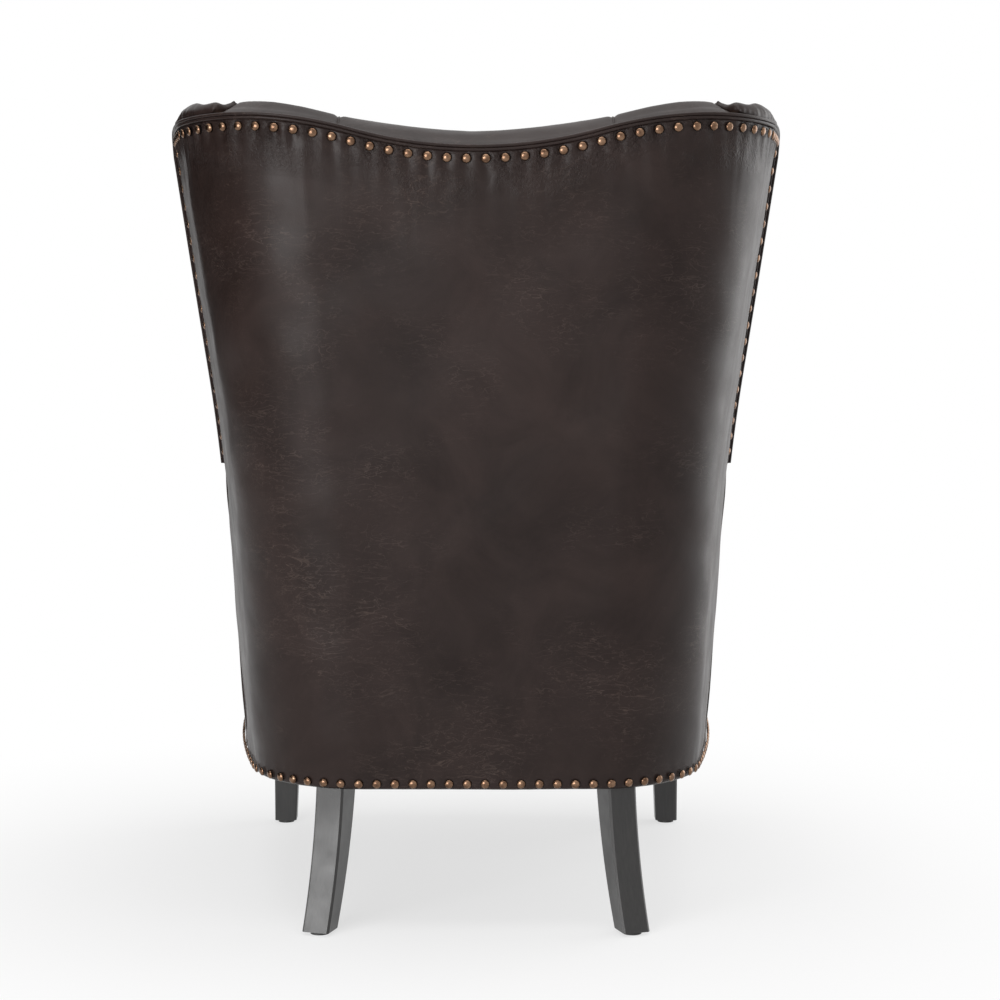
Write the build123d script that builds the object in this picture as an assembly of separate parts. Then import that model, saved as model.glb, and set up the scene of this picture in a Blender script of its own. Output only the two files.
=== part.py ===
"""High-back wing chair: a wrapped U-shaped back with wings, low arms and four square legs.

The chair faces -Y and stands on Z = 0. "Left" and "right" are the sitter's own sides, so left is +X.
A depth is measured forward from the back's lower edge, and a height up from the floor.
"""
from functools import cache
import math
import os

from build123d import *

# Outer form, seen in plan at the lower edge of the cover, at the waist and at the level of the ears
BASE_LEVEL = 170.0
TOP_LEVEL = 960.0
WAIST_OVER_ARM = 30.0
BASE_HALF_FLAT = 126.0
WAIST_HALF_FLAT = 157.0
TOP_HALF_FLAT = 190.0
BASE_CORNER_RADIUS = 140.0
WAIST_CORNER_RADIUS = 130.0
TOP_CORNER_RADIUS = 155.0
CORNER_TURN = 79.0
BASE_FRONT_HALF_WIDTH = 300.0
WAIST_FRONT_HALF_WIDTH = 318.0
TOP_FRONT_HALF_WIDTH = 366.0
BODY_DEPTH = 655.0
BACK_LEAN = 99.0

# Crest, wing and arm outlines
CREST_EAR_HALF = 270.0
EDGE_DROP = 66.0
EDGE_RISE = 47.0
RIM_OVER_EDGE = 23.0
RIM_RISE = 38.0
ARM_EDGE_LEVEL = 525.0
ARM_RIM_OVER_EDGE = 16.0
SEAM_BASE_DEPTH = 215.0
WING_FOOT_DEPTH = 290.0
WING_TOP_DEPTH = 140.0
WING_TOP_DROP = 25.0
WING_EDGE_SAG = 12.0
WING_ROLL = 18.0

# Layers of the wall, from the outside inwards
FIT = 0.3
COVER = 4.0
BOARD = 3.5
FRAME = 28.0
WING_BOARD = 20.0
STRAP = 2.0
STRAP_WIDTH = 45.0
STRAP_END = 10.0
BACK_PAD = 78.0
SIDE_PAD = 22.0
PAD_CROWN = 12.0
SOFT_GAP = 1.5
SHOULDER_SHARE = 0.5
FRONT_PANEL = 6.0
PANEL_ROUND = 14.0

# Wooden frame
RAIL_LIFT = 2.0
SEAT_RAIL_HEIGHT = 110.0
FRAME_DROP = 3.0
CREST_RAIL_HEIGHT = 60.0
CREST_RAIL_END_DEPTH = 30.0
POST_WIDTH = 45.0
POST_BASE_X = 140.0
POST_TOP_X = 195.0
LOWER_RAIL_OVER_DECK = 5.0
LOWER_RAIL_HEIGHT = 50.0
ARM_RAIL_HEIGHT = 35.0
ARM_RAIL_DROP = 20.0
ARM_POST_DEPTH = 48.0
ARM_POST_THICK = 30.0
BLOCK_LEG = 70.0
BLOCK_HEIGHT = 60.0
BLOCK_DROP = 12.0
DUST_SHEET = 1.0

# Seat
DECK_LEVEL = 345.0
CUSHION_THICK = 128.0
CUSHION_GAP = 3.0
CUSHION_FRONT_LIP = 2.0
CUSHION_CORNER = 50.0
CUSHION_CROWN_RADIUS = 1500.0
CUSHION_TOP_ROUND = 34.0
CUSHION_BASE_ROUND = 14.0
SEAT_STRAPS = 5
CROSS_STRAPS = 5
BACK_STRAPS = 4
BACK_CROSS_STRAPS = 5

# Legs
GLIDE_HEIGHT = 4.0
GLIDE_RADIUS = 11.0
FRONT_LEG_TOP = 37.0
FRONT_LEG_FOOT = 29.5
FRONT_LEG_INSET = 20.0
FRONT_LEG_SETBACK = 41.0
REAR_LEG_TOP = (34.0, 44.0)
REAR_LEG_FOOT = (33.0, 32.0)
REAR_LEG_TURN = 18.0
REAR_LEG_SHIFT = 23.0
REAR_LEG_TOP_DEPTH = 42.0
REAR_LEG_SPLAY = 18.0
REAR_LEG_FOOT_DEPTH = 10.0
REAR_LEG_KNEE = 0.36
BOLT_RADIUS = 4.0
BOLT_LENGTH = 70.0
BOLT_CLEARANCE = 0.2
FRONT_BOLT_INSET = 9.0
REAR_BOLT_DEPTH = 31.0
LEG_BEVEL = 2.5
LEG_CUT_OUT = 1.0

# Trim
WELT_HEIGHT = 7.0
WELT_OUT = 3.0
NAIL_RADIUS = 5.5
NAIL_CROWN_RADIUS = 3.0
NAIL_HEIGHT = 2.6
NAIL_SIDES = 6
NAIL_PITCH = 21.0
NAIL_INSET = 7.5
NAIL_SEAT = 0.2
BUTTON_RADIUS = 11.0
BUTTON_HEIGHT = 7.0
TUFT_RADIUS = 34.0
TUFT_DEPTH = 20.0
TUFT_COLUMN = 151.0
TUFT_DROP = 94.0
TUFT_ROW = 105.0

# Values worked out from the sizes above
BACK_Y = (BODY_DEPTH - BACK_LEAN) / 2
FRONT_Y = BACK_Y - BODY_DEPTH
WAIST_LEVEL = ARM_EDGE_LEVEL + WAIST_OVER_ARM
EDGE_DIP_LEVEL = TOP_LEVEL - EDGE_DROP
RIM_DIP_LEVEL = EDGE_DIP_LEVEL + RIM_OVER_EDGE
WING_TOP_LEVEL = TOP_LEVEL - WING_TOP_DROP
ARM_RIM_LEVEL = ARM_EDGE_LEVEL + ARM_RIM_OVER_EDGE
ARM_RAIL_TOP = ARM_EDGE_LEVEL - ARM_RAIL_DROP
RAIL_BASE_LEVEL = BASE_LEVEL + RAIL_LIFT
LOWER_RAIL_LEVEL = DECK_LEVEL + LOWER_RAIL_OVER_DECK
TUFT_TOP_LEVEL = EDGE_DIP_LEVEL - TUFT_DROP
FRONT_LEG_OUTER_X = BASE_FRONT_HALF_WIDTH - FRONT_LEG_INSET
FRONT_LEG_DEPTH = BODY_DEPTH - FRONT_LEG_SETBACK
REAR_LEG_TOP_X = POST_BASE_X + REAR_LEG_SHIFT
REAR_LEG_FOOT_X = REAR_LEG_TOP_X + REAR_LEG_SPLAY
BOARD_OUT = COVER + FIT
BOARD_IN = BOARD_OUT + BOARD
FRAME_OUT = BOARD_IN + FIT
FRAME_IN = FRAME_OUT + FRAME
STRAP_OUT = FRAME_IN + FIT
POST_IN = STRAP_OUT + STRAP
CROSS_STRAP_OUT = POST_IN + FIT
PAD_OUT = CROSS_STRAP_OUT + STRAP + FIT
PAD_IN = PAD_OUT + SIDE_PAD
SEAT_RAIL_TOP = RAIL_BASE_LEVEL + SEAT_RAIL_HEIGHT
CROSS_STRAP_LEVEL = SEAT_RAIL_TOP + STRAP + FIT
DECK_BASE = CROSS_STRAP_LEVEL + STRAP + FIT
CORNER_PAD = (BACK_PAD + SIDE_PAD) / 2
BACK_STEPS = ((0, BACK_PAD), (0.5, BACK_PAD), (1, BACK_PAD))
BACK_CORNER_STEPS = ((1, BACK_PAD), (1.27, BACK_PAD * 0.9), (1.54, CORNER_PAD))
SIDE_CORNER_STEPS = ((1.54, CORNER_PAD), (1.77, SIDE_PAD * 1.35), (2, SIDE_PAD))
WING_STEPS = ((2, SIDE_PAD), (2.33, SIDE_PAD), (2.66, SIDE_PAD))
ARM_STEPS = ((2, SIDE_PAD), (2.5, SIDE_PAD), (3, SIDE_PAD))
PANEL_Y = FRONT_Y + FRONT_PANEL
ARM_POST_REAR_Y = PANEL_Y + FIT + ARM_POST_DEPTH
REACH = 2 * TOP_LEVEL
PATH_STEPS = 400
PLAN_LEVELS = (BASE_LEVEL, WAIST_LEVEL, TOP_LEVEL)
HALF_FLATS = (BASE_HALF_FLAT, WAIST_HALF_FLAT, TOP_HALF_FLAT)
CORNER_RADII = (BASE_CORNER_RADIUS, WAIST_CORNER_RADIUS, TOP_CORNER_RADIUS)
FRONT_HALF_WIDTHS = (BASE_FRONT_HALF_WIDTH, WAIST_FRONT_HALF_WIDTH, TOP_FRONT_HALF_WIDTH)


def flat(x, y):
    """Point on the floor plane."""
    return Vector(x, y, 0)


def mirrored(shape):
    """The same shape on the sitter's right."""
    return shape.mirror(Plane.YZ)


# Outer form

def bracket(level):
    """Index of the plan outline below a level, and the share of the way up to the next one."""
    index = 0 if level < WAIST_LEVEL else 1
    low, high = PLAN_LEVELS[index:index + 2]
    return index, (level - low) / (high - low)


def plan_at(level):
    """Half flat, corner radius, back Y and half front width of the outer form at one level."""
    index, share = bracket(level)
    values = []
    for sizes in (HALF_FLATS, CORNER_RADII, FRONT_HALF_WIDTHS):
        values.append(sizes[index] + share * (sizes[index + 1] - sizes[index]))
    half_flat, radius, front = values
    climb = (level - BASE_LEVEL) / (TOP_LEVEL - BASE_LEVEL)
    return half_flat, radius, BACK_Y + climb * BACK_LEAN, front


def side_arc(level):
    """Centre and radius of the long side arc that leaves the back corner and ends at the front."""
    half_flat, radius, back_y, front = plan_at(level)
    turn = math.radians(90 - CORNER_TURN)
    normal = flat(math.cos(turn), math.sin(turn))
    start = flat(half_flat, back_y - radius) + normal * radius
    chord = flat(front, FRONT_Y) - start
    side_radius = -chord.dot(chord) / (2 * chord.dot(normal))
    return start - normal * side_radius, side_radius


def side_end_angle(level, inset):
    """Angle, seen from the side arc's centre, of the point where the side meets the front."""
    centre, radius = side_arc(level)
    return math.degrees(math.asin((FRONT_Y - centre.Y) / (radius - inset)))


def outline(level, inset):
    """Closed plan outline of the outer form at one level, set in by a distance."""
    half_flat, radius, back_y, _ = plan_at(level)
    centre, side_radius = side_arc(level)
    start_angle = 90 - CORNER_TURN
    sweep = side_end_angle(level, inset) - start_angle
    corner = CenterArc((half_flat, back_y - radius), radius - inset, 90, -CORNER_TURN)
    side = CenterArc((centre.X, centre.Y), side_radius - inset, start_angle, sweep)
    back = Line((-half_flat, back_y - inset), (half_flat, back_y - inset))
    front = Line(side @ 1, (-(side @ 1).X, FRONT_Y))
    edges = [back, corner, side, front, mirrored(side), mirrored(corner)]
    return make_face(edges).moved(Location((0, 0, level)))


@cache
def body(inset):
    """The outer form as a solid, set in by a distance."""
    return loft([outline(level, inset) for level in PLAN_LEVELS], ruled=True)


@cache
def wall(outer, inner):
    """U-shaped wall of the outer form between two insets, open at the front."""
    return body(outer) - body(inner)


def end_station(level, place):
    """Point and outward normal on the plan outline: place 0-1 back, 1-2 corner, 2-3 side."""
    half_flat, radius, back_y, _ = plan_at(level)
    if place <= 1:
        return Vector(half_flat * place, back_y, level), flat(0, 1)
    if place <= 2:
        turn = math.radians(90 - CORNER_TURN * (place - 1))
        normal = flat(math.cos(turn), math.sin(turn))
        return Vector(half_flat, back_y - radius, level) + normal * radius, normal
    centre, side_radius = side_arc(level)
    start_angle = 90 - CORNER_TURN
    turn = math.radians(start_angle + (place - 2) * (side_end_angle(level, 0) - start_angle))
    normal = flat(math.cos(turn), math.sin(turn))
    return Vector(centre.X, centre.Y, level) + normal * side_radius, normal


def station(level, place):
    """Point and outward normal on the outer form, whose sides are straight below and above the waist."""
    index, share = bracket(level)
    low, low_normal = end_station(PLAN_LEVELS[index], place)
    high, high_normal = end_station(PLAN_LEVELS[index + 1], place)
    normal = low_normal + (high_normal - low_normal) * share
    return low + (high - low) * share, normal.normalized()


# Outlines that cut the outer form

def crest_radius(rise):
    """Radius of the two equal arcs that climb from the dip to the ear."""
    run = CREST_EAR_HALF / 2
    return (run ** 2 + (rise / 2) ** 2) / rise


def crest_level(x, dip, rise):
    """Height of the crest line at a distance from the middle."""
    radius = crest_radius(rise)
    if abs(x) <= CREST_EAR_HALF / 2:
        return dip + radius - math.sqrt(radius ** 2 - x ** 2)
    return dip + rise - radius + math.sqrt(radius ** 2 - (abs(x) - CREST_EAR_HALF) ** 2)


def below_crest(dip, rise):
    """Everything below the crest line: a dip in the middle that climbs to an ear on each side."""
    far_x = TOP_FRONT_HALF_WIDTH + PAD_IN
    half = CREST_EAR_HALF / 2

    def point(x):
        return Vector(x, 0, crest_level(x, dip, rise))

    edges = [
        Edge.make_three_point_arc(point(-half), point(0), point(half)),
        Edge.make_three_point_arc(point(half), point(CREST_EAR_HALF), point(far_x)),
        Edge.make_line(point(far_x), Vector(far_x, 0, 0)),
        Edge.make_line(Vector(far_x, 0, 0), Vector(-far_x, 0, 0)),
        Edge.make_line(Vector(-far_x, 0, 0), point(-far_x)),
        Edge.make_three_point_arc(point(-far_x), point(-CREST_EAR_HALF), point(-half)),
    ]
    return extrude(Face(Wire(edges)), amount=REACH, dir=(0, 1, 0), both=True)


def wing_edge_depth(level):
    """Depth of the wing's leading edge, a shallow hollow curve from the ear down to the arm."""
    share = (level - ARM_EDGE_LEVEL) / (WING_TOP_LEVEL - ARM_EDGE_LEVEL)
    straight = WING_FOOT_DEPTH + share * (WING_TOP_DEPTH - WING_FOOT_DEPTH)
    return straight - WING_EDGE_SAG * 4 * share * (1 - share)


def behind_wing(grow):
    """Everything behind the wing's leading edge and, below the arm, behind the side seam."""
    middle_level = (ARM_EDGE_LEVEL + WING_TOP_LEVEL) / 2

    def point(depth, level):
        return Vector(0, BACK_Y - depth - grow, level)

    foot = point(WING_FOOT_DEPTH, ARM_EDGE_LEVEL)
    head = point(WING_TOP_DEPTH, WING_TOP_LEVEL)
    seam = point(SEAM_BASE_DEPTH, BASE_LEVEL)
    far = REACH / 2
    edges = [
        Edge.make_line(Vector(0, far, 0), Vector(0, seam.Y, 0)),
        Edge.make_line(Vector(0, seam.Y, 0), seam),
        Edge.make_line(seam, foot),
        Edge.make_three_point_arc(foot, point(wing_edge_depth(middle_level), middle_level), head),
        Edge.make_line(head, Vector(0, head.Y, far)),
        Edge.make_line(Vector(0, head.Y, far), Vector(0, far, far)),
        Edge.make_line(Vector(0, far, far), Vector(0, far, 0)),
    ]
    return extrude(Face(Wire(edges)), amount=REACH, dir=(1, 0, 0), both=True)


def slab(low, high):
    """Everything between two levels."""
    return Pos(0, 0, (low + high) / 2) * Box(REACH, REACH, high - low)


def block(x_range, y_range, z_range):
    """Upright block between given X, Y and Z limits."""
    spans = (x_range, y_range, z_range)
    middle = [(low + high) / 2 for low, high in spans]
    return Pos(*middle) * Box(*[high - low for low, high in spans])


# Covers, boards and welts

def outer_back_cover():
    """Leather over the back and both wings, in one wrap."""
    return wall(0, COVER) & below_crest(EDGE_DIP_LEVEL, EDGE_RISE) & behind_wing(0)


def back_board():
    """Flexible board that holds the wrap's round corners under the leather."""
    inner = wall(BOARD_OUT, BOARD_IN) & below_crest(EDGE_DIP_LEVEL - FRAME_DROP, EDGE_RISE)
    return inner & behind_wing(-FRAME_DROP) & slab(RAIL_BASE_LEVEL, TOP_LEVEL)


def arm_zone(top):
    """The sitter's left arm between the side seam and the front panel, up to a level."""
    zone = block((0, REACH), (PANEL_Y + FIT, BACK_Y), (BASE_LEVEL, top))
    return zone - behind_wing(FIT)


def outer_arm_cover():
    """Leather on the outside of the left arm."""
    return wall(0, COVER) & arm_zone(ARM_EDGE_LEVEL)


def arm_board():
    """Board under the leather on the outside of the left arm."""
    board = wall(BOARD_OUT, BOARD_IN) & arm_zone(ARM_EDGE_LEVEL - FRAME_DROP)
    return board & slab(RAIL_BASE_LEVEL, TOP_LEVEL)


def double_welt():
    """Twin piping along the crest and down both wing edges."""
    band = wall(-WELT_OUT, COVER) & slab(ARM_EDGE_LEVEL + FIT, TOP_LEVEL)
    outer = below_crest(EDGE_DIP_LEVEL + WELT_HEIGHT, EDGE_RISE) & behind_wing(WELT_HEIGHT)
    inner = below_crest(EDGE_DIP_LEVEL + FIT, EDGE_RISE) & behind_wing(FIT)
    return (band & outer) - inner


def arm_welt():
    """Twin piping along the left arm's outer edge."""
    band = wall(-WELT_OUT, COVER) & slab(ARM_EDGE_LEVEL + FIT, ARM_EDGE_LEVEL + WELT_HEIGHT)
    zone = block((0, REACH), (PANEL_Y + FIT, BACK_Y), (BASE_LEVEL, TOP_LEVEL))
    return band & (zone - behind_wing(WELT_HEIGHT + FIT))


# Padding

def pad_point(place, inset, level):
    """Point at an inset and level, in the upright plane through one place of the outer form."""
    low, _ = station(BASE_LEVEL, place)
    high, _ = station(TOP_LEVEL, place)
    _, normal = station(DECK_LEVEL, place)
    straight = low + (high - low) * ((level - BASE_LEVEL) / (TOP_LEVEL - BASE_LEVEL))
    waist = (station(level, place)[0] - straight).dot(normal)
    return straight + normal * (waist - inset)


def pad_section(place, base, edge, rim, thick):
    """Section of a pad: it rises from a base, rolls over the frame's edge and has a crowned face."""
    inner = PAD_OUT + thick
    heel_inset = COVER + SOFT_GAP
    shoulder = rim - thick * SHOULDER_SHARE
    neck = pad_point(place, PAD_OUT, edge + FIT)
    back_levels = [base] + [level for level in (WAIST_LEVEL,) if base < level < edge]
    back_line = [pad_point(place, PAD_OUT, level) for level in back_levels] + [neck]
    heel = pad_point(place, heel_inset, edge + FIT)
    lip = pad_point(place, heel_inset, edge + WELT_HEIGHT)
    crown = pad_point(place, (heel_inset + inner) / 2, rim)
    front_top = pad_point(place, inner, shoulder)
    belly = pad_point(place, inner + PAD_CROWN * thick / BACK_PAD, (shoulder + base) / 2)
    front_low = pad_point(place, inner, base)
    edges = [Edge.make_line(lower, upper) for lower, upper in zip(back_line, back_line[1:])]
    edges += [
        Edge.make_line(neck, heel),
        Edge.make_line(heel, lip),
        Edge.make_three_point_arc(lip, crown, front_top),
        Edge.make_three_point_arc(front_top, belly, front_low),
        Edge.make_line(front_low, back_line[0]),
    ]
    return Wire(edges)


def crest_pad_section(place, base, thick):
    """Pad section whose edge and rim follow the crest."""
    x = station(EDGE_DIP_LEVEL, place)[0].X
    edge = crest_level(x, EDGE_DIP_LEVEL, EDGE_RISE)
    rim = crest_level(x, RIM_DIP_LEVEL, RIM_RISE)
    return pad_section(place, base, edge, rim, thick)


def arm_pad_section(place, thick):
    """Pad section whose edge and rim are the arm's."""
    return pad_section(place, DECK_LEVEL + FIT, ARM_EDGE_LEVEL, ARM_RIM_LEVEL, thick)


def tuft_places():
    """Across and up of each sewn tuft: a diamond of three rows."""
    middle = TUFT_TOP_LEVEL - TUFT_ROW
    low = middle - TUFT_ROW
    pairs = [(side * TUFT_COLUMN, level) for level in (TUFT_TOP_LEVEL, low) for side in (-1, 1)]
    return pairs + [(0, middle)]


def tuft_plane(x, level):
    """Plane on the inside back's face at one tuft, facing the sitter."""
    lean = math.atan2(BACK_LEAN, TOP_LEVEL - BASE_LEVEL)
    face_y = plan_at(level)[2] - PAD_OUT - BACK_PAD
    return Plane((x, face_y, level), x_dir=(1, 0, 0), z_dir=(0, -math.cos(lean), math.sin(lean)))


def inside_back_pad():
    """Tufted pad on the inside of the back, rolled over the crest."""
    base = DECK_LEVEL + FIT
    half = [crest_pad_section(place, base, size) for place, size in BACK_STEPS]
    other = [mirrored(wire) for wire in reversed(half[1:])]
    corner = Solid.make_loft([crest_pad_section(place, base, size) for place, size in BACK_CORNER_STEPS])
    pad = Solid.make_loft(other + half) + corner + mirrored(corner)
    for x, level in tuft_places():
        pad -= tuft_plane(x, level) * Pos(0, 0, TUFT_RADIUS - TUFT_DEPTH) * Sphere(TUFT_RADIUS)
    return pad


def tuft_buttons():
    """Covered buttons at the bottom of the tufts."""
    button = Pos(0, 0, BUTTON_HEIGHT / 2 - TUFT_DEPTH + FIT) * Cylinder(BUTTON_RADIUS, BUTTON_HEIGHT)
    dish = Pos(0, 0, TUFT_RADIUS - TUFT_DEPTH + FIT) * Sphere(TUFT_RADIUS)
    return [tuft_plane(x, level) * (button & dish) for x, level in tuft_places()]


def inside_wing_pad():
    """Pad on the inside of the left wing, rolled over its top and leading edge."""
    base = ARM_RIM_LEVEL + FIT
    corner = Solid.make_loft([crest_pad_section(place, base, size) for place, size in SIDE_CORNER_STEPS])
    side = Solid.make_loft([crest_pad_section(place, base, size) for place, size in WING_STEPS])
    board_room = wall(-WELT_OUT, FRAME_OUT + WING_BOARD + SOFT_GAP)
    pad = corner + (side - (board_room & below_crest(EDGE_DIP_LEVEL, EDGE_RISE)))
    roll = wall(COVER + SOFT_GAP, PAD_OUT + SIDE_PAD / 2) & slab(base, TOP_LEVEL)
    roll = roll & below_crest(EDGE_DIP_LEVEL + WELT_HEIGHT, EDGE_RISE)
    roll = roll & block((0, REACH), (-REACH, REACH), (0, TOP_LEVEL))
    return (pad & behind_wing(WING_ROLL)) + ((roll & behind_wing(WING_ROLL)) - behind_wing(FIT))


def arm_pad():
    """Pad on the inside and top of the left arm."""
    corner = Solid.make_loft([arm_pad_section(place, size) for place, size in SIDE_CORNER_STEPS])
    side = Solid.make_loft([arm_pad_section(place, size) for place, size in ARM_STEPS])
    pad = corner + side
    wing = wall(-WELT_OUT, FRAME_OUT + WING_BOARD + SOFT_GAP) & behind_wing(WELT_HEIGHT + SOFT_GAP)
    front = block((0, REACH), (PANEL_Y + FIT, REACH), (0, TOP_LEVEL))
    return (pad - wing) & front


def arm_front_panel():
    """Padded leather panel that closes the front of the left arm."""
    zone = block((0, REACH), (FRONT_Y, PANEL_Y), (BASE_LEVEL, ARM_RIM_LEVEL))
    panel = wall(0, PAD_IN) & zone
    top = panel.faces().sort_by(Axis.Z)[-1]
    short_edges = top.edges().filter_by(lambda edge: edge.length < 2 * FRONT_PANEL)
    return fillet(short_edges, PANEL_ROUND)


def front_border():
    """Padded leather panel below the cushion."""
    zone = block((-REACH, REACH), (FRONT_Y, PANEL_Y), (BASE_LEVEL, DECK_LEVEL))
    return body(PAD_IN + FIT) & zone


def seat_deck():
    """Firm pad with a cloth top that carries the cushion."""
    zone = block((-REACH, REACH), (PANEL_Y + FIT, REACH), (DECK_BASE, DECK_LEVEL))
    return body(PAD_OUT) & zone


def cushion_half_width(y):
    """Half width that the side pads leave for the cushion at one Y."""
    place = place_at_depth(DECK_LEVEL, BACK_Y - y)
    return station(DECK_LEVEL, place)[0].X - PAD_IN - PAD_CROWN * SIDE_PAD / BACK_PAD - CUSHION_GAP


def seat_cushion():
    """Loose cushion, wider at the front, with a crowned top and rounded edges."""
    back_y = plan_at(DECK_LEVEL)[2] - PAD_OUT - BACK_PAD - PAD_CROWN - CUSHION_GAP
    front_y = FRONT_Y - CUSHION_FRONT_LIP
    back_half = cushion_half_width(back_y)
    front_half = cushion_half_width(FRONT_Y)
    corners = [(back_half, back_y), (front_half, front_y), (-front_half, front_y), (-back_half, back_y)]
    shape = make_face(Polyline(*corners, close=True))
    shape = fillet(shape.vertices(), CUSHION_CORNER)
    base = DECK_LEVEL + FIT
    slab_form = extrude(Pos(0, 0, base) * shape, amount=CUSHION_THICK)
    crown_centre = base + CUSHION_THICK - CUSHION_CROWN_RADIUS
    form = slab_form & Pos(0, (back_y + front_y) / 2, crown_centre) * Sphere(CUSHION_CROWN_RADIUS)
    form = fillet(form.faces().sort_by(Axis.Z)[-1].edges(), CUSHION_TOP_ROUND)
    return fillet(form.faces().sort_by(Axis.Z)[0].edges(), CUSHION_BASE_ROUND)


# Wooden frame

def post_zone():
    """Upright strip, seen from behind, that the left back post stands in."""
    corners = [
        Vector(POST_BASE_X, 0, RAIL_BASE_LEVEL),
        Vector(POST_BASE_X + POST_WIDTH, 0, RAIL_BASE_LEVEL),
        Vector(POST_TOP_X + POST_WIDTH, 0, TOP_LEVEL),
        Vector(POST_TOP_X, 0, TOP_LEVEL),
    ]
    strip = Face(Wire.make_polygon(corners))
    prism = extrude(strip, amount=REACH, dir=(0, 1, 0), both=True)
    return prism & block((0, REACH), (0, REACH), (0, TOP_LEVEL))


def crest_rail():
    """Rail sawn to the crest's curve, which turns both back corners."""
    rail = wall(FRAME_OUT, FRAME_IN) & below_crest(EDGE_DIP_LEVEL - FRAME_DROP, EDGE_RISE)
    rail = rail - below_crest(EDGE_DIP_LEVEL - FRAME_DROP - CREST_RAIL_HEIGHT, EDGE_RISE)
    return rail & block((-REACH, REACH), (BACK_Y - CREST_RAIL_END_DEPTH, REACH), (0, TOP_LEVEL))


@cache
def back_post():
    """Left back post, from the leg to the crest rail."""
    post = wall(FRAME_OUT, POST_IN) & post_zone()
    return post & below_crest(EDGE_DIP_LEVEL - FRAME_DROP - CREST_RAIL_HEIGHT, EDGE_RISE)


def back_rail(low, high):
    """Rail between the two back posts."""
    middle = (POST_BASE_X + POST_TOP_X) / 2
    zone = block((-middle, middle), (0, REACH), (low, high))
    return (wall(FRAME_OUT, FRAME_IN) & zone) - back_post() - mirrored(back_post())


def side_rail(low, high):
    """Left rail from the back post round the corner to the arm post."""
    zone = block((POST_BASE_X, REACH), (ARM_POST_REAR_Y, REACH), (low, high))
    rail = (wall(FRAME_OUT, FRAME_IN) & zone) - back_post()
    return rail.solids().sort_by(SortBy.VOLUME)[-1]


@cache
def side_seat_rail():
    """Left seat rail, high enough to carry the cross straps over the other straps."""
    return side_rail(RAIL_BASE_LEVEL, SEAT_RAIL_TOP + STRAP + FIT)


@cache
def arm_post():
    """Left front post, from the leg to the top of the arm."""
    zone = block((0, REACH), (PANEL_Y + FIT, ARM_POST_REAR_Y), (RAIL_BASE_LEVEL, ARM_RAIL_TOP))
    return wall(FRAME_OUT, FRAME_OUT + ARM_POST_THICK) & zone


def front_seat_rail():
    """Rail between the two arm posts."""
    rear_y = PANEL_Y + FIT + FRAME
    zone = block((-REACH, REACH), (PANEL_Y + FIT, rear_y), (RAIL_BASE_LEVEL, SEAT_RAIL_TOP))
    return body(FRAME_OUT + ARM_POST_THICK) & zone


def wing_board():
    """Left wing board, standing on the arm rail against the crest rail's end."""
    board = wall(FRAME_OUT, FRAME_OUT + WING_BOARD) & behind_wing(-FRAME_DROP)
    board = board & below_crest(EDGE_DIP_LEVEL - FRAME_DROP, EDGE_RISE)
    zone = block((0, REACH), (-REACH, BACK_Y - CREST_RAIL_END_DEPTH), (ARM_RAIL_TOP, TOP_LEVEL))
    return board & zone


def corner_blocks():
    """Glued blocks in the four corners of the seat frame, just under the webbing."""
    top = SEAT_RAIL_TOP - BLOCK_DROP
    front_y = PANEL_Y + FIT + FRAME
    inner_x = front_seat_rail().bounding_box().max.X
    front = [(inner_x, front_y), (inner_x - BLOCK_LEG, front_y), (inner_x, front_y + BLOCK_LEG)]
    rear_x = POST_BASE_X + POST_WIDTH / 2
    rear = [(rear_x - BLOCK_LEG - FRAME, BACK_Y), (rear_x, BACK_Y), (rear_x, BACK_Y - FRAME_IN - BLOCK_LEG)]
    blocks = []
    for corners in (front, rear):
        shape = make_face(Polyline(*corners, close=True)).moved(Location((0, 0, top - BLOCK_HEIGHT)))
        solid = extrude(shape, amount=BLOCK_HEIGHT) & body(FRAME_IN)
        solid = solid - arm_post() - back_post() - side_seat_rail()
        blocks += [solid, mirrored(solid)]
    return blocks


# Straps and sheets

def spread(count, half):
    """Even places across a width, half a step in from each end."""
    return [half * (2 * (index + 0.5) / count - 1) for index in range(count)]


def seat_webbing():
    """Straps from front to back, and the cross straps that lie on them and on the side rails."""
    straps = []
    for x in spread(SEAT_STRAPS, POST_BASE_X):
        span = (x - STRAP_WIDTH / 2, x + STRAP_WIDTH / 2)
        zone = block(span, (PANEL_Y + FIT, REACH), (SEAT_RAIL_TOP, SEAT_RAIL_TOP + STRAP))
        straps.append(body(FRAME_OUT) & zone)
    rear_y = BACK_Y - BASE_CORNER_RADIUS
    half = (rear_y - ARM_POST_REAR_Y) / 2
    for offset in spread(CROSS_STRAPS, half):
        y = ARM_POST_REAR_Y + half + offset
        span = (y - STRAP_WIDTH / 2, y + STRAP_WIDTH / 2)
        zone = block((-REACH, REACH), span, (CROSS_STRAP_LEVEL, CROSS_STRAP_LEVEL + STRAP))
        straps.append(body(FRAME_OUT) & zone)
    return straps


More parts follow.
